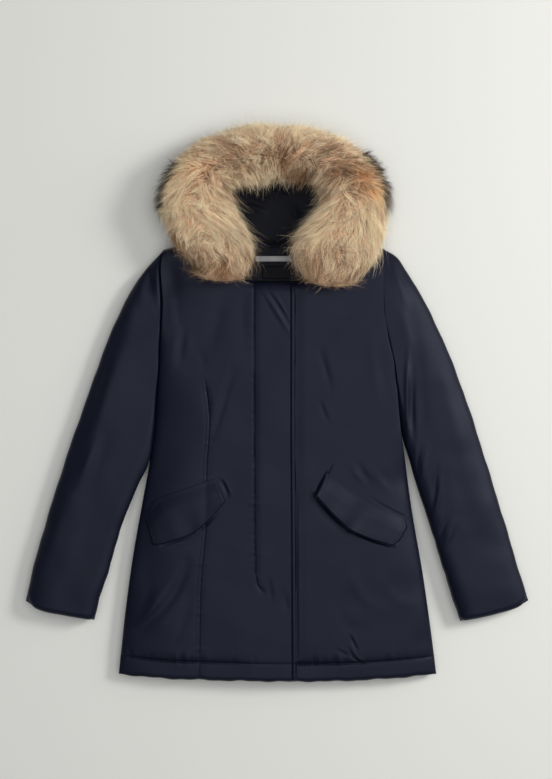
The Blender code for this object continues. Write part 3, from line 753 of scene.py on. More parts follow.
def weave_group():
    """Plain weave, with the height of its yarns and a slow mottling for its shade.

    The height is a sine across the warp times a sine across the weft, so that they take turns on
    top, plus a little noise.
    """
    group = bpy.data.node_groups.new("plain_weave", "ShaderNodeTree")
    for label, kind, side in (
        ("Vector", "Vector", "INPUT"),
        ("Yarns per metre", "Float", "INPUT"),
        ("Height", "Float", "OUTPUT"),
        ("Shade", "Float", "OUTPUT"),
    ):
        group.interface.new_socket(label, in_out=side, socket_type="NodeSocket" + kind)
    given = add_node(group, "NodeGroupInput").outputs
    place = add_node(group, "ShaderNodeSeparateXYZ", {0: given["Vector"]}).outputs
    turns = maths(group, "MULTIPLY", given["Yarns per metre"], np.pi)
    yarns = [maths(group, "SINE", maths(group, "MULTIPLY", place[axis], turns)) for axis in "XY"]
    rough = maths(group, "MULTIPLY", noise(group, given["Vector"], 900.0, 3.0), 1.2)
    height = maths(group, "ADD", maths(group, "MULTIPLY", *yarns), rough)
    shade = noise(group, given["Vector"], 22.0, 5.0)
    add_node(group, "NodeGroupOutput", {"Height": height, "Shade": shade})
    return group


def woven(weave, name, dark, light, roughness, yarns, relief, specular, sheen):
    """Woven cloth: a mottled colour, an even roughness with slight wear, and the weave as bump."""
    material, tree, shader = new_material(name)
    place = add_node(tree, "ShaderNodeTexCoord").outputs["Object"]
    inputs = {"Vector": place, "Yarns per metre": yarns}
    cloth = add_node(tree, "ShaderNodeGroup", inputs, node_tree=weave).outputs
    wear = {"Value": cloth["Shade"], "To Min": roughness - 0.05, "To Max": roughness + 0.07}
    bump = {"Height": cloth["Height"], "Strength": 0.5, "Distance": relief}
    feed(tree, shader, {
        "Base Color": colour_ramp(tree, cloth["Shade"], ((0.3, dark), (0.7, light))),
        "Roughness": add_node(tree, "ShaderNodeMapRange", wear).outputs["Result"],
        "Normal": add_node(tree, "ShaderNodeBump", bump).outputs["Normal"],
        "Specular IOR Level": specular,
        "Specular Tint": (0.78, 0.82, 1.0, 1),
        "Sheen Weight": sheen,
        "Sheen Roughness": 0.45,
        "Sheen Tint": (0.8, 0.8, 0.8, 1),
    })
    return material


def fur_material(name, *colours):
    """Four colours along a hair, from its root to its tip, times the tone of its place on the pelt,
    which carries painted light and shade as well as colour.
    """
    material, tree, shader = new_material(name)
    uv = add_node(tree, "ShaderNodeUVMap", uv_map="UVMap").outputs["UV"]
    along = add_node(tree, "ShaderNodeSeparateXYZ", {0: uv}).outputs["Y"]
    tone = add_node(tree, "ShaderNodeAttribute", attribute_name="tone").outputs["Color"]
    inputs = {"Factor": 1.0, "A": colour_ramp(tree, along, list(zip(FUR_BANDS, colours))), "B": tone}
    settings = {"data_type": "RGBA", "blend_type": "MULTIPLY", "clamp_result": True}
    feed(tree, shader, {
        "Base Color": add_node(tree, "ShaderNodeMix", inputs, **settings).outputs["Result"],
        "Roughness": 0.6,
        "Specular IOR Level": 0.06,
        "Sheen Weight": 0.22,
        "Sheen Tint": (1.0, 0.8, 0.58, 1),
    })
    return material


# ------------ cloth pieces


def front_fill(grid):
    """Thickness of a front before its edges: full in the middle, less by the square of x."""
    return FRONT_FILL - FRONT_FALL * (grid[..., 0] / HALF_CHEST) ** 2


def placket_stitching(grid, last):
    """The lapped front's seams: the long one is a narrow step, beyond which the placket rises slowly."""
    y = grid[..., 1]
    away = last - PLACKET_WIDTH
    fade = np.clip((y - PLACKET_FOOT) / 8.0, 0, 1)
    sides = [groove(away, name) for name in ("placket, near side", "placket, far side")]
    seam = groove(away, "placket") + np.where(away < 0, *sides)
    hook, _ = from_line(grid, curve(PLACKET_HOOK))
    height = (seam + 0.3 * pucker(away, y, 11)) * fade + groove(hook, "placket hook") * (1 - fade)
    away = last - EDGE_STITCH
    return height + groove(away, "front edge") + 0.12 * pucker(away, y, 12, 9.0)


def dart_seam(grid):
    """The dart seam to the hem, with its stitches beside it; it is deepest where it starts."""
    away, along = from_line(grid, curve(DART))
    fade = np.clip(along / 0.05, 0, 1)
    deep = 1 + 1.2 * bell(along - 0.07, 0.07)
    height = groove(away, "dart") * deep + groove(away + DART_STITCH, "dart stitches")
    return (height + 0.22 * pucker(away, along * DART_LENGTH, 21)) * fade


def hem_stitching(grid, hem, seed):
    """The hem channel's stitches, with uneven gathers in the panel above them."""
    away = hem - HEM_DEPTH
    x = grid[..., 0]
    deep, _ = hem_line(x)
    gather = 0.5 * pucker(away - 3, x, seed, 19.0) + 0.3 * pucker(away, x, seed + 1, 8.0)
    return (groove(away, "front hem") + gather * (0.3 + 0.7 * (away > 0))) * deep


def body_grid(*outline):
    """Points of a body panel, with small waves at the hem, and their distances from its edges."""
    grid = patch(*outline)
    distances = edge_distances(grid)
    x = grid[..., 0]
    grid[..., 1] += (0.7 * np.sin(x / 13.0) + 0.5 * np.sin(x / 5.7 + 1)) * bell(distances[3], 12.0)
    return grid, distances


def build_right_front(cloth):
    """The wearer's right front, with the grown-on placket that laps over the left front."""
    upper, side = shifted(RIGHT_FRONT_TOP, 0, -SEAM), shifted(RIGHT_BODY_SIDE, SEAM)
    outline = (upper, RIGHT_HEM, side, FRONT_EDGE_LINE)
    grid, (first, _, top, hem) = body_grid(*outline, FRONT_COLUMNS, BODY_ROWS)
    last = front_edge_at(grid[..., 1]) - grid[..., 0]
    edge = body_edge(grid, 0, RIGHT_BODY, RIGHT_ARMHOLE_EDGE, RIGHT_SIDE_EDGE)
    share = rim(first, edge) * rim(last, FRONT_EDGE) * rim(top, NECK_EDGE) * hem_share(hem, grid[..., 0])
    detail = folds(grid, RIGHT_FRONT_FOLDS) + swell(grid, 3, 0.8)
    detail += placket_stitching(grid, last) + dart_seam(grid) + hem_stitching(grid, hem, 31)
    puffed = TOP_LEVEL + front_fill(grid) * share + detail * np.minimum(share * FRONT_DETAIL, 1)
    seat = np.full(puffed.shape, TOP_LEVEL)
    seat[:, STEP_COLUMN + 1:] = LAP_LEVEL
    puffed = np.maximum(puffed, seat + LEAST_THICKNESS)
    pressed = np.maximum(puffed + folds(grid, RIGHT_FLAP_HOLLOWS), seat + LEAST_THICKNESS)
    obj = pad("padded_right_front", grid, pressed, TOP_LEVEL, cloth, True, (STEP_COLUMN, LAP_LEVEL))
    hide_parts("right_front")
    return grid, puffed


def build_left_front(cloth):
    """The wearer's left front, which lies flat under the placket and rises close beside its edge."""
    upper, side = shifted(LEFT_FRONT_TOP, 0, -SEAM), shifted(LEFT_BODY_SIDE, -SEAM)
    outline = (upper, LEFT_HEM, shifted(FRONT_EDGE_LINE, -LAP), side)
    grid, (_, last, top, hem) = body_grid(*outline, LEFT_COLUMNS, BODY_ROWS)
    beyond = grid[..., 0] - front_edge_at(grid[..., 1])
    edge = body_edge(grid, -1, LEFT_BODY, LEFT_ARMHOLE_EDGE, LEFT_SIDE_EDGE)
    flat = (LAP_LEVEL - GAP - TOP_LEVEL) / FRONT_FILL
    beside = flat + (1 - flat) * (0.9 * smooth(beyond, 0.0, 0.25) + 0.1 * smooth(beyond, 0.3, 22.0))
    share = np.minimum(rim(last, edge) * rim(top, NECK_EDGE) * hem_share(hem, grid[..., 0]), beside)
    clear = np.clip((beyond - 0.4) / 1.5, 0, 1)
    detail = folds(grid, LEFT_FRONT_FOLDS) + swell(grid, 5, 0.8) + hem_stitching(grid, hem, 32)
    puffed = TOP_LEVEL + front_fill(grid) * share + detail * np.minimum(share * FRONT_DETAIL, 1) * clear
    pressed = np.maximum(puffed + folds(grid, LEFT_FLAP_HOLLOWS), TOP_LEVEL + LEAST_THICKNESS)
    obj = pad("padded_left_front", grid, pressed, TOP_LEVEL, cloth, True)
    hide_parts("left_front")
    return grid, puffed


def build_back(cloth):
    """The back, which rests on the surface and thins towards its seams."""
    sides = (shifted(RIGHT_BODY_SIDE, SEAM), shifted(LEFT_BODY_SIDE, -SEAM))
    outline = (shifted(BACK_TOP, 0, -SEAM), BACK_HEM, *sides)
    grid, (first, last, top, hem) = body_grid(*outline, BACK_COLUMNS, BACK_ROWS)
    share = rim(first, body_edge(grid, 0, RIGHT_BODY, UNDER_ARMHOLE_EDGE, UNDER_EDGE))
    share *= rim(last, body_edge(grid, -1, LEFT_BODY, UNDER_ARMHOLE_EDGE, UNDER_EDGE))
    share *= rim(top, UNDER_SEAM) * rim(hem, UNDER_HEM)
    bottom = np.maximum(UNDER_LEVEL * (1 - share) - groove(hem - HEM_DEPTH, "back hem"), 0)
    obj = pad("padded_back", grid, bottom, UNDER_LEVEL, cloth, False)
    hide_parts("back")


def soft_corners(grid):
    """Rounds a sleeve's two cuff corners: points near each are drawn in towards the sleeve."""
    for column, inside, radius in ((0, 8, 11.0), (-1, -9, 6.0)):
        corner = grid[-1, column].copy()
        inward = unit(grid[-14, inside] - corner)
        near = bell(np.linalg.norm(grid - corner, axis=2), radius)
        grid += 0.4 * radius * near[..., None] * inward


def wavy_sides(grid, first, last):
    """Small waves in the plan of a sleeve's two long edges."""
    down = np.linspace(0, 1, len(grid))[:, None]
    wave = 0.35 * np.sin(down * 41) + 0.3 * np.sin(down * 88 + 1)
    outer = bell(first, 14.0) * smooth(down, 0.05, 0.2)
    inner = bell(last, 14.0) * smooth(down, 0.5, 0.6)
    grid[..., 0] += wave * (outer + inner)


def build_sleeve(side, outlines, head, sides, table, seed, cloth):
    """The upper and the under half of one sleeve, from its armhole to its cuff."""
    armhole, outer, inner, cuff, outward = outlines
    clear = SEAM * outward
    edges = (shifted(armhole, clear), cuff, shifted(outer, clear), shifted(inner, clear))
    grid = patch(*edges, SLEEVE_COLUMNS, SLEEVE_ROWS)
    first, last, top, end = edge_distances(grid)
    wavy_sides(grid, first, last)
    soft_corners(grid)
    upper, high, low, shoulder, underarm = head
    lower = smooth(np.linspace(0, 1, grid.shape[1]), *ARMHOLE_CHEST)
    cap = rim(top, (high + (low - high) * lower, shoulder + (underarm - shoulder) * lower))
    cap *= upper + (1 - upper) * smooth(top, 0, SLEEVE_HEAD_LENGTH)
    share = rim(first, sides[0]) * rim(last, sides[1]) * cap * rim(end, CUFF_EDGE)
    detail = folds(grid, table) + swell(grid, seed, 1.0)
    puffed = TOP_LEVEL + SLEEVE_FILL * share + detail * np.minimum(share * SLEEVE_DETAIL, 1)
    obj = pad("padded_" + side + "_upper_sleeve", grid, puffed, TOP_LEVEL, cloth, outward < 0)
    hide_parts(side + "_upper_sleeve")

    grid = patch(*edges, UNDER_COLUMNS, UNDER_ROWS)
    first, last, top, end = edge_distances(grid)
    wavy_sides(grid, first, last)
    share = rim(first, UNDER_EDGE) * rim(last, UNDER_EDGE) * rim(top, UNDER_SEAM) * rim(end, UNDER_CUFF)
    bottom = UNDER_LEVEL * (1 - share)
    obj = pad("padded_" + side + "_under_sleeve", grid, bottom, UNDER_LEVEL, cloth, outward > 0)
    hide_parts(side + "_under_sleeve")


def nearest_height(panel, points):
    """Height of the panel's grid point nearest to each point."""
    plan, height = panel[0].reshape(-1, 2), panel[1].reshape(-1)
    found = [
        height[((chunk[:, None] - plan[None]) ** 2).sum(axis=2).argmin(axis=1)]
        for chunk in np.array_split(points.reshape(-1, 2), max(1, points.size // 128))
    ]
    return np.concatenate(found).reshape(points.shape[:-1])


def stitches(name, lines, panel, thread, lift=0.35, pitch=4.4, length=3.1, radius=0.5):
    """Thread along lines on a panel: a spindle of eight faces for each stitch, partly sunk in it."""
    bodies = []
    for line in lines:
        middle = np.arange(pitch, line_lengths(line)[-1] - pitch / 2, pitch)
        ends = [read_along(line, middle + part * length) for part in (-0.5, 0.5)]
        ends = [np.column_stack([end, nearest_height(panel, end) + lift]) for end in ends]
        axis = unit(ends[1] - ends[0])
        side = unit(np.cross(axis, (0.0, 0.0, 1.0)))
        up = np.cross(side, axis)
        centre = (ends[0] + ends[1]) / 2
        ring = [centre + radius * part for part in (side, up, -side, -up)]
        bodies.append(np.stack(ends + ring, axis=1))
    points = np.concatenate(bodies)
    ring = np.array((2, 3, 4, 5))
    after = np.roll(ring, -1)
    first, last = 0 * ring, 0 * ring + 1
    faces = np.concatenate([np.stack([first, ring, after], 1), np.stack([last, after, ring], 1)])
    faces = (np.arange(len(points))[:, None, None] * 6 + faces).reshape(-1, 3)
    add_mesh(name, points.reshape(-1, 3), [faces], thread)


def heights_below(grid, panel):
    """Height of a panel's grid at other points, from its nearest points, weighted by closeness."""
    plan, height = panel[0].reshape(-1, 2), panel[1].reshape(-1)
    places = grid.reshape(-1, 2)
    near = ((plan > places.min(axis=0) - 12) & (plan < places.max(axis=0) + 12)).all(axis=1)
    plan, height = plan[near], height[near]
    result = []
    for chunk in np.array_split(places, 24):
        away = ((chunk[:, None] - plan[None]) ** 2).sum(axis=2)
        weight = np.exp(-away / 18.0) + 1e-12
        result.append((weight * height).sum(axis=1) / weight.sum(axis=1))
    return np.concatenate(result).reshape(grid.shape[:2])


def build_flap(name, outline, lifts, seed, panel, cloth, thread):
    """A pocket flap: flush with the panel where it is sewn on, lifted in waves at its free edge."""
    grid = patch(**outline, columns=FLAP_COLUMNS, rows=FLAP_ROWS)
    first, last, top, free = edge_distances(grid)
    along = first / (first + last)
    wave = 1 + 0.2 * np.sin(along * 9 + seed) + 0.15 * np.sin(along * 21 + seed)
    lift = np.interp(along, (0, 0.5, 1), lifts) * wave
    under = heights_below(grid, panel) + FLAP_CLEARANCE + lift * (top / (top + free)) ** FLAP_CURL
    share = rim(first, FLAP_EDGE) * rim(last, FLAP_EDGE) * smooth(top, *FLAP_SEAM) * rim(free, FLAP_EDGE)
    edge = np.minimum(np.minimum(first, last), free)
    over = under + np.maximum(FLAP_THICKNESS * share, 0.4) + groove(edge - FLAP_STITCH, "flap")
    over += swell(grid, seed, 0.4) * share
    obj = slab("padded_" + name, grid, under, over, cloth)
    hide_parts(name)
    middle = free[:, free.shape[1] // 2]
    row = np.argmin(np.abs(middle - FLAP_STITCH))
    left, right = (np.argmin(np.abs(side[row] - FLAP_STITCH)) for side in (first, last))
    line = np.concatenate([grid[4:row, left], grid[row, left:right], grid[row:4:-1, right]])
    stitches("topstitching_" + name, [line], (grid, over), thread)


def hood_foot():
    """Foot points and rim heights round the hood, evenly spaced."""
    line = curve(HOOD + HOOD[:1])
    return read_along(line, np.linspace(0, line_lengths(line)[-1], HOOD_AROUND, endpoint=False))


def hood_ring(foot, inset, height):
    """Points set in from the foot of the wall towards the hood's centre, at a height."""
    inward = np.array(HOOD_CENTRE) - foot[:, :2]
    inward /= np.linalg.norm(inward, axis=1)[:, None]
    return np.column_stack([foot[:, :2] + inward * inset, np.broadcast_to(height, len(foot))])


def build_hood(cloth, lining):
    """The padded hood shell with its thin lining inside it."""
    foot = hood_foot()
    climb = foot[:, 2] - HOOD_FLOOR

    def inner_rings(profile, clear):
        floor = HOOD_FLOOR + clear
        return [hood_ring(foot, inset + clear, floor + climb * share) for inset, share in profile]

    outside = [hood_ring(foot, inset, share * foot[:, 2]) for inset, share in HOOD_OUTSIDE]
    inside = inner_rings(HOOD_INSIDE, 0.0)
    shell = skin("padded_hood_shell", np.array(outside + inside), cloth)
    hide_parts("hood_shell")
    under = inner_rings(HOOD_INSIDE[1:], LINING_CLEARANCE)
    over = inner_rings(HOOD_INSIDE[1:], LINING_CLEARANCE + LINING_THICKNESS)
    edge = over[-1]
    for part in np.linspace(0.96, 0.04, 24):
        plan = np.array(HOOD_CENTRE) + (edge[:, :2] - HOOD_CENTRE) * part
        height = edge[:, 2] + folds(plan[None], LINING_FOLDS)[0] * smooth(1 - part, 0, 0.2)
        over.append(np.column_stack([plan, height]))
    obj = skin("sewn_hood_lining", np.array(under[::-1] + over), lining)
    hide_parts("hood_lining")


def build_neck(lining, label, tape):
    """The neck facing, its bare label and the hanger loop."""
    grid = patch(**FACING, columns=FACING_COLUMNS, rows=FACING_ROWS)
    under = np.full(grid.shape[:2], TOP_LEVEL)
    obj = slab("sewn_neck_facing", grid, under, under + FACING_THICKNESS, lining)
    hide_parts("neck_facing")
    seat = TOP_LEVEL + FACING_THICKNESS + GAP
    for row, material in zip(TRIMS, (label, tape)):
        node, slot, centre, length, width, thickness, arch, rounding = row
        x = np.linspace(-0.5, 0.5, 40)
        y = np.linspace(0.5, -0.5, 14)
        grid = np.stack(np.meshgrid(centre[0] + length * x, centre[1] + width * y), axis=2)
        edge = np.min(edge_distances(grid), axis=0)
        under = np.broadcast_to(seat + arch * np.cos(np.pi * x), grid.shape[:2])
        over = under + thickness * rim(edge, (0.3, rounding)) + groove(edge - TRIM_STITCH, "trim")
        obj = slab("woven_" + node, grid, under, over, material)
        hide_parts(node)


# ------------ fur


# The pelt lies PELT_INSET inside the ruff. Its hair parts at an angle round the ruff, in radians
# from its outer side. It stays above FUR_FLOOR on the chest, which ends between the two y of
# CHEST_EDGE, and above FUR_LOWEST elsewhere. Over FUR_TOP it keeps RISE_KEPT of its rise.
PELT_INSET = 22.0
FUR_PARTING = 1.72
FUR_FLOOR = RUFF_SEAT - 2.0
FUR_LOWEST = 8.0
CHEST_EDGE = (290.0, 306.0)
FUR_TOP = 103.0
RISE_KEPT = 0.35
# Mean radius of a section of the ruff, which turns lengths round it into angles.
RUFF_RADIUS = 52.0
# Each end of the ruff is a dome: its share of the ruff, its length, and its direction in plan.
RUFF_CAP = 0.028
END_DOME = 17.0
END_LIE = ((-0.15, -0.99), (-0.1, -0.99))

# Layers of hair. A layer has so many clumps of so many hairs, shared out over its pieces, and each
# hair has so many stations. spread is the scatter of a clump, over how far tips pass the ruff,
# gather how far a clump draws together at its tips, start to end its stretch of the ruff, and low
# to high its angles round the ruff.
Layer = namedtuple(
    "Layer",
    "name material seed pieces clumps hairs stations length spread width over gather frizz"
    " start end low high",
)
ALL_OVER = (0.006, 0.994, -0.1, 3.3)
HAIR_LAYERS = (
    Layer("underfur", "underfur", 8, 1, 2500, 23, 3, 22.0, 7.0, 1.15, -6.0, 0.3, 2.0, *ALL_OVER),
    Layer("hair", "long_hair", 4, 3, 2900, 19, 5, 34.0, 4.6, 0.66, 2.0, 0.72, 2.0, *ALL_OVER),
    Layer("guard_hair", "long_hair", 10, 1, 3000, 3, 5, 43.0, 5.0, 0.5, 9.0, 0.4, 4.5, *ALL_OVER),
    Layer("stray_hair", "long_hair", 10, 1, 1700, 2, 5, 50.0, 8.0, 0.40, 17.0, 0.0, 9.0, *ALL_OVER),
    Layer(
        "dark_hair_right", "dark_tipped_hair", 15, 1, 110, 12, 5,
        28.0, 3.4, 0.62, 14.0, 0.72, 1.5, 0.20, 0.30, 0.05, 0.55,
    ),
    Layer(
        "dark_hair_left", "dark_tipped_hair", 14, 1, 150, 14, 5,
        27.0, 3.2, 0.62, 15.0, 0.75, 1.5, 0.67, 0.765, 0.1, 0.6,
    ),
)
# Share of the clumps that grow under the ruff's outer side, and their lowest angle.
LOW_SHARE = 0.12
LOW_ANGLE = -0.9
# Noise in the facing of a blade, in the lean of a clump's and of a hair's normals, and how far
# those normals are bent upwards and off the hair's direction.
FACING_NOISE = 0.22
CLUMP_LEAN = 0.34
HAIR_LEAN = 0.18
UPWARD = 1.2
ACROSS_HAIR = 0.85

# The pelt is brightened, and paler in hue, along its outer edge at the top of the hood: a painted
# highlight where the lamps light that edge from above. It is darker and browner at both ends:
# painted shade where the ends face away from the light, on the fur's own brown.
# Columns: y where the change starts, y where it ends, then red, green and blue there.
PAINTED_LIGHT_TOP_EDGE = (462, 498, 1.5, 1.6, 1.85)
BROWN_AND_SHADED_ENDS = (292, 222, 0.56, 0.48, 0.43)
# Tone of the clumps and of single hairs, each as a mean and a spread.
CLUMP_TONE = (1.2, 0.2)
HAIR_TONE = (1.0, 0.34)
# Share of the clumps that are dark, away from the brightened patches of the pelt, then red,
# green and blue of a dark clump and of the brightest hair, against the main colour.
DARK_SHARE = 0.24
DARK_CLUMP = (0.37, 0.31, 0.27)
BRIGHTEST = (1.15, 1.08, 1.03)
# Patches of the pelt: some are the fur's own orange and brown, others are painted light and shade:
# brightened arms of the ruff, and painted shadow inside the hood's opening and at the lower end
# of the ruff on the wearer's right. Columns: x, y, radius, strength against the main colour, and
# the share of blue that the patch loses, with 0.6 of that from its green.
FUR_COLOUR_LIGHT_AND_SHADE_PATCHES = (
    (-152, 432, 26, 1.25, 0.38),
    (-90, 446, 28, 0.58, 0.20),
    (46, 417, 28, 0.27, 0.45),
    (14, 440, 22, 0.62, 0.28),
    (110, 422, 26, 0.40, 0.35),
    (152, 415, 24, 0.54, 0.57),
    (175, 387, 19, 0.98, 0.55),
    (172, 330, 52, 1.55, 0.10),
    (84, 320, 26, 1.50, 0.04),
    (-155, 358, 56, 1.75, 0.04),
    (-93, 388, 13, 0.42, 0.17),
    (-184, 294, 23, 0.30, 0.60),
    (-150, 256, 25, 0.15, 0.70),
    (-92, 250, 28, 0.64, 0.26),
    (66, 258, 28, 0.66, 0.24),
)


def ruff_table():
    """The ruff's rows with the middle of each section in front, as one dense line."""
    table = np.array(RUFF, float)
    return curve(np.concatenate([(table[:, :2] + table[:, 2:4]) / 2, table], axis=1))


def ruff_point(line, s, angle, inset):
    """A point of the ruff: across it by the cosine of an angle, up by its sine, less the inset.

    s runs from 0 to 1 along it. Past the last full section of either end it goes on as a dome.
    """
    total = line_lengths(line)[-1]
    rows = read_along(line, np.clip(s, RUFF_CAP, 1 - RUFF_CAP) * total)
    outer, inner, height, droop = rows[..., 2:4], rows[..., 4:6], rows[..., 6], rows[..., 7]
    half = np.linalg.norm(outer - inner, axis=-1) / 2
    width = np.maximum(half - inset, 4.0) / half
    side = np.cos(angle)
    across = np.sign(side) * np.abs(side) ** 0.8
    plan = (outer + inner) / 2 + (outer - inner) / 2 * (across * width)[..., None]
    dome = END_DOME * np.sqrt(np.clip(1 - across**2, 0, 1)) / total
    past = np.minimum(np.maximum(RUFF_CAP - s, s - 1 + RUFF_CAP), dome) * total
    plan = plan + np.maximum(past, 0)[..., None] * np.where(s[..., None] < 0.5, *END_LIE)
    outside = np.clip((across - WALL_FOOT / half) / (1 - WALL_FOOT / half), 0, 1)
    low = np.maximum(droop - inset * 0.4, 0) * np.clip(-np.sin(angle), 0, 1) ** 0.6 * np.sqrt(outside)
    up = np.clip(np.sin(angle), 0, 1) ** 0.8
    z = RUFF_SEAT + np.maximum(height - inset, 3.0) * up - low
    return np.concatenate([plan, z[..., None]], axis=-1)


def pelt_outward(line, s, angle):
    """Direction out of the pelt: its slope round the ruff crossed with its slope along the ruff."""
    after, before, ahead, behind = (
        ruff_point(line, s + ds, angle + turn, PELT_INSET)
        for ds, turn in ((0.0, 0.02), (0.0, -0.02), (0.003, 0.0), (-0.003, 0.0))
    )
    outward = unit(np.cross(after - before, ahead - behind))
    return outward * np.sign(outward[:, 2:] + 0.2)


def fur_tone_and_painted_light(points):
    """The pelt's tone at points in plan: its painted highlight along the top edge, its brown and
    shaded ends, and its patches of colour and of painted light and shade.
    """
    tone = np.ones((len(points), 3))
    for start, end, *colour in (PAINTED_LIGHT_TOP_EDGE, BROWN_AND_SHADED_ENDS):
        share = np.clip((points[:, 1] - start) / (end - start), 0, 1)[:, None]
        tone *= 1 + (np.array(colour) - 1) * share
    for x, y, radius, strength, warmth in FUR_COLOUR_LIGHT_AND_SHADE_PATCHES:
        colour = strength * np.array((1, 1 - 0.6 * warmth, 1 - warmth))
        share = bell(np.hypot(points[:, 0] - x, points[:, 1] - y), radius)[:, None]
        tone *= 1 + (colour - 1) * share
    return tone


def lie_of_fur(s, angle, length, total):
    """How far a hair travels along the ruff and round it: down the arms, and off the parting."""
    arm = smooth(np.abs(s - 0.5), 0.10, 0.30)
    side = np.tanh((FUR_PARTING - angle) * 2.2)
    along = np.sign(s - 0.5) * length / total * (0.15 + 0.95 * arm)
    around = -side * length / RUFF_RADIUS * (1.05 - 0.62 * arm)
    return along, around


def tuft_wave(s, angle, seed):
    """Uneven lie of the pelt: waves along and round the ruff, in many directions."""
    rng = np.random.default_rng(seed)
    value = np.zeros(s.shape)
    for _ in range(9):
        turns, climbs, phase = rng.uniform(6, 34), rng.uniform(-4, 4), rng.uniform(0, TURN)
        value += np.sin(TURN * turns * s + climbs * angle + phase)
    return value / 3


def hair_paths(layer, line, rng):
    """Stations along every hair, with the place along the ruff and the angle where its clump grows.

    A hair starts scattered about its clump, goes along and round the ruff with the lie of the fur,
    gathers towards its clump's tip, and climbs from the pelt to a little past the ruff.
    """
    clumps = layer.clumps
    total = line_lengths(line)[-1]
    s = np.sort(rng.uniform(layer.start, layer.end, clumps))
    low_side = rng.uniform(size=clumps) < LOW_SHARE
    below, above = rng.uniform(LOW_ANGLE, 0, clumps), rng.uniform(layer.low, layer.high, clumps)
    angle = np.where(low_side, below, above)
    length = layer.length * rng.uniform(0.8, 1.15, clumps)
    along, around = lie_of_fur(s, angle, length, total)
    waves = min(1.0, 2 * (layer.end - layer.start))
    along += (rng.normal(size=clumps) * 10.0 + tuft_wave(s, angle, 3) * 20.0 * waves) / total
    around += rng.normal(size=clumps) * 0.2 + tuft_wave(s, angle, 4) * 0.40 * waves

    each = (clumps, layer.hairs, 1)
    t = np.linspace(0, 1, layer.stations)
    pull = np.clip(layer.gather + 0.15 * rng.normal(size=(clumps, 1, 1)), 0, 0.95)
    own = rng.uniform(0.7, 1.1, each)
    scatter = layer.spread * (1 - pull * t)
    goes = own * t**1.25
    s_path = s[:, None, None] + rng.normal(size=each) * scatter / total + along[:, None, None] * goes
    turn = rng.normal(size=each) * scatter / RUFF_RADIUS + around[:, None, None] * goes
    a_path = np.clip(angle[:, None, None] + turn, -1.35, np.pi + 0.35)
    reach = rng.normal(size=(clumps, 1, 1)) * 2.2 + layer.over * rng.uniform(0.2, 1.2, each)
    climb = own * (1 - (1 - t) ** 1.6)
    inset = np.maximum(PELT_INSET * (1 - climb) - reach * t, -9.0 - layer.over)
    path = ruff_point(line, s_path, a_path, inset)
    path += rng.normal(size=(clumps, layer.hairs, 1, 3)) * layer.frizz * t[:, None] ** 1.5
    return path, s, angle


def settle(path):
    """Keeps hair above the chest and the surface below it, and presses its highest tips down."""
    near, far = CHEST_EDGE
    chest = 1 - smooth(path[..., 1], near, far)
    z = np.maximum(path[..., 2], FUR_LOWEST + (FUR_FLOOR - FUR_LOWEST) * chest)
    path[..., 2] = z - (1 - RISE_KEPT) * np.maximum(z - FUR_TOP, 0)


def hair_blades(path, outward, width, rng):
    """A flat blade along each hair, tapering to its tip, and the normals of its points.

    A blade faces out of the pelt, turned a little at random. Its normals are the pelt's, bent
    upwards and off the hair's direction, with the lean of its clump and its own.
    """
    clumps, hairs, stops = path.shape[:3]
    count = clumps * hairs
    path = path.reshape(count, stops, 3)
    outward = np.repeat(outward, hairs, axis=0)[:, None]
    tangent = unit(np.gradient(path, axis=1))
    across = unit(np.cross(tangent, outward + FACING_NOISE * rng.normal(size=(count, 1, 3))))
    wide = width * rng.uniform(0.6, 1.2, (count, 1)) * (1.02 - np.linspace(0, 1, stops) ** 2)
    half = across * wide[..., None] / 2
    sides = np.stack([path - half, path + half], axis=2)[:, :-1].reshape(count, -1, 3)
    lean = np.repeat(rng.normal(size=(clumps, 1, 3)), hairs, axis=0) * CLUMP_LEAN
    lean += rng.normal(size=(count, 1, 3)) * HAIR_LEAN
    outward = unit(outward + (0.0, 0.0, UPWARD))
    endways = (outward * tangent).sum(axis=-1, keepdims=True) * tangent
    lit = unit(outward - ACROSS_HAIR * endways + lean)
    normals = np.concatenate([np.repeat(lit[:, :-1], 2, axis=1), lit[:, -1:]], axis=1)
    return np.concatenate([sides, path[:, -1:]], axis=1), normals


def hair_tones(places, clumps, rng):
    """Each hair's tone: the pelt's at its place with its painted light and shade, times its own and
    its clump's, some of them dark.
    """
    hairs = len(places) // clumps
    tone = fur_tone_and_painted_light(places)
    # Brightened places, mostly painted light, get no dark clumps.
    brightened = np.clip((tone[:, :1] - 1) * 1.6, 0, 1)
    clump_tone = np.repeat(rng.normal(*CLUMP_TONE, (clumps, 1)), hairs, axis=0)
    dark = np.repeat(rng.uniform(size=(clumps, 1)) < DARK_SHARE, hairs, axis=0) * (1 - brightened)
    tone = tone * rng.normal(*HAIR_TONE, (len(places), 1)) * clump_tone
    return np.clip(tone * (1 - dark * (1 - np.array(DARK_CLUMP))), 0.02, BRIGHTEST)


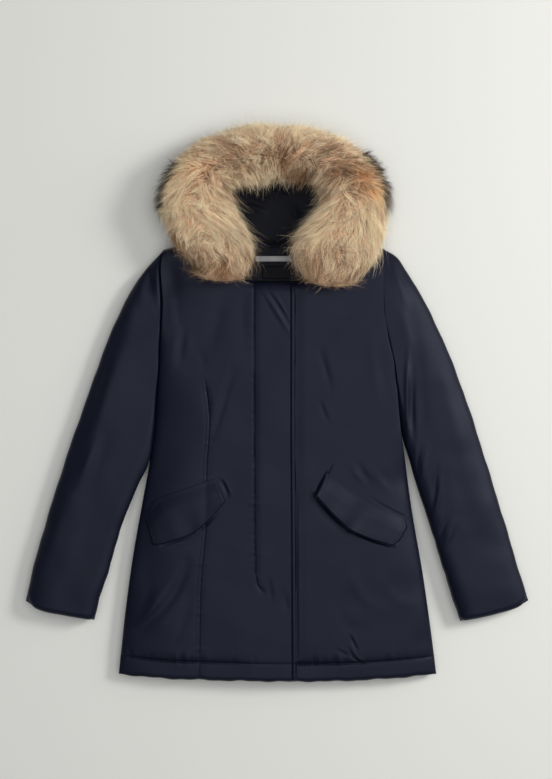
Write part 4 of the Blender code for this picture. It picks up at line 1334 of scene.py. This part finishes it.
def hair_layer(layer, furs, line):
    """One layer of hair, as tapered blades in clumps that lean into the lie of the fur."""
    rng = np.random.default_rng(layer.seed)
    path, s, angle = hair_paths(layer, line, rng)
    settle(path)
    blades, normals = hair_blades(path, pelt_outward(line, s, angle), layer.width, rng)
    count, per = blades.shape[:2]
    middle = path[:, :, layer.stations // 2].reshape(count, 3)
    tone = hair_tones(middle, layer.clumps, rng)
    quad = np.array([(2 * i, 2 * i + 1, 2 * i + 3, 2 * i + 2) for i in range(layer.stations - 2)])
    tip = np.array([(per - 3, per - 2, per - 1)])
    height = np.r_[np.repeat(np.linspace(0, 1, layer.stations)[:-1], 2), 1.0]
    for piece in range(layer.pieces):
        low, high = (count * part // layer.pieces for part in (piece, piece + 1))
        starts = (np.arange(high - low) * per)[:, None, None]
        faces = [(starts + quad).reshape(-1, 4), (starts + tip).reshape(-1, 3)]
        along = np.tile(height, high - low)
        uv = np.stack([np.repeat(rng.uniform(size=high - low), per), along], axis=1)
        points = blades[low:high].reshape(-1, 3)
        name = "fur_%s_%d" % (layer.name, piece + 1)
        obj = add_mesh(name, points, faces, furs[layer.material], uv)
        colour = np.ones((len(points), 4))
        colour[:, :3] = np.repeat(tone[low:high], per, axis=0)
        # The tone attribute carries painted light and shade as well as the hair's own colour.
        attribute = obj.data.color_attributes.new("tone", "FLOAT_COLOR", "POINT")
        attribute.data.foreach_set("color", colour.reshape(-1))
        obj.data.normals_split_custom_set_from_vertices(normals[low:high].reshape(-1, 3))


def build_fur(furs):
    """The pelt, as a smaller ruff, and its layers of hair."""
    line = ruff_table()
    around = np.linspace(0, 2 * np.pi, 48, endpoint=False)
    s, angle = np.meshgrid(np.linspace(0.02, 0.98, 150), around, indexing="ij")
    core = skin("fur_pelt", ruff_point(line, s, angle, PELT_INSET), furs["fur_skin"])
    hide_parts("fur_ruff")
    for layer in HAIR_LAYERS:
        hair_layer(layer, furs, line)


# ------------ studio


# Metres. Lights are disks aimed at the origin. Columns: name, place, size, power, colour.
LIGHTS = (
    ("side_light", (2.4, 0.95, 2.2), 0.9, 43.0, (1.0, 0.99, 0.97)),
    ("side_panel", (3.0, 0.9, 1.7), 2.2, 31.0, (1.0, 0.99, 0.97)),
    ("overhead_light", (0.3, 0.1, 4.2), 4.4, 92.0, (0.98, 0.99, 1.0)),
)
SKY = {"Color": (0.95, 0.97, 1.0, 1), "Strength": 0.17}
PAPER = {"Base Color": (0.80, 0.80, 0.755, 1), "Roughness": 0.9, "Specular IOR Level": 0.1}
FLOOR_HALF = 6.0
CAMERA_PLACE = (-0.0018, 0.0268, 3.402)


def build_studio():
    """Pale floor, two lights from the wearer's left, a large one overhead and an even sky."""
    mesh = bpy.data.meshes.new("studio_floor")
    corners = [(x * FLOOR_HALF, y * FLOOR_HALF, 0) for x, y in ((-1, -1), (1, -1), (1, 1), (-1, 1))]
    mesh.from_pydata(corners, [], [(0, 1, 2, 3)])
    floor = add_object("studio_floor", mesh)
    material, tree, shader = new_material("studio_paper")
    feed(tree, shader, PAPER)
    mesh.materials.append(material)
    for name, place, size, power, colour in LIGHTS:
        light = bpy.data.lights.new(name, "AREA")
        light.shape = "DISK"
        light.size = size
        light.energy = power
        light.color = colour
        lamp = add_object(name, light)
        lamp.location = place
        lamp.rotation_euler = (-Vector(place)).to_track_quat("-Z", "Y").to_euler()
    world = bpy.data.worlds.new("studio_sky")
    bpy.context.scene.world = world
    world.use_nodes = True
    feed(world.node_tree, world.node_tree.nodes["Background"], SKY)


def build_camera():
    """Straight down, far enough that the coat keeps its proportions."""
    camera = bpy.data.cameras.new("camera")
    camera.lens = 85.0
    camera.sensor_width = 36.0
    camera.clip_end = 50.0
    obj = add_object("camera", camera)
    obj.location = CAMERA_PLACE
    bpy.context.scene.camera = obj


# ------------ the coat


def build_topstitching(right, left, thread):
    """Thread along the lapped front's edge, its placket, the dart and the hem channel."""
    edge = curve(FRONT_EDGE_LINE)
    above = edge[edge[:, 1] > PLACKET_FOOT] - (PLACKET_WIDTH - PLACKET_STITCH, 0)
    placket = np.concatenate([above, curve(PLACKET_HOOK)[1:]])
    dart = curve(DART)[2:] - (DART_STITCH, 0)
    right_hem, left_hem = (curve(line) + (0, HEM_DEPTH) for line in (RIGHT_HEM, LEFT_HEM))
    lines = [edge - (EDGE_STITCH, 0), placket, dart, right_hem]
    stitches("topstitching_right_front", lines, right, thread)
    stitches("topstitching_left_front", [left_hem[left_hem[:, 0] > LEFT_HEM_START]], left, thread)


def main():
    """The camera, the studio, the materials, then the coat piece by piece."""
    bpy.context.scene.view_settings.view_transform = "Standard"
    build_camera()
    build_studio()
    weave = weave_group()
    cloth, thread, lining, label, tape = [woven(weave, *row) for row in WOVEN_CLOTHS]
    furs = {row[0]: fur_material(*row) for row in FUR_COLOURS}
    right = build_right_front(cloth)
    left = build_left_front(cloth)
    build_back(cloth)
    right_edges = (RIGHT_ARMHOLE, RIGHT_SLEEVE_OUTER, RIGHT_SLEEVE_INNER, RIGHT_CUFF, -1)
    left_edges = (LEFT_ARMHOLE, LEFT_SLEEVE_OUTER, LEFT_SLEEVE_INNER, LEFT_CUFF, 1)
    build_sleeve("right", right_edges, RIGHT_SLEEVE_HEAD, RIGHT_SLEEVE_EDGES, RIGHT_SLEEVE_FOLDS, 41, cloth)
    build_sleeve("left", left_edges, LEFT_SLEEVE_HEAD, LEFT_SLEEVE_EDGES, LEFT_SLEEVE_FOLDS, 42, cloth)
    build_flap("right_pocket_flap", RIGHT_FLAP, RIGHT_FLAP_LIFTS, 1, right, cloth, thread)
    build_flap("left_pocket_flap", LEFT_FLAP, LEFT_FLAP_LIFTS, 3, left, cloth, thread)
    build_topstitching(right, left, thread)
    build_hood(cloth, lining)
    build_neck(lining, label, tape)
    build_fur(furs)


main()
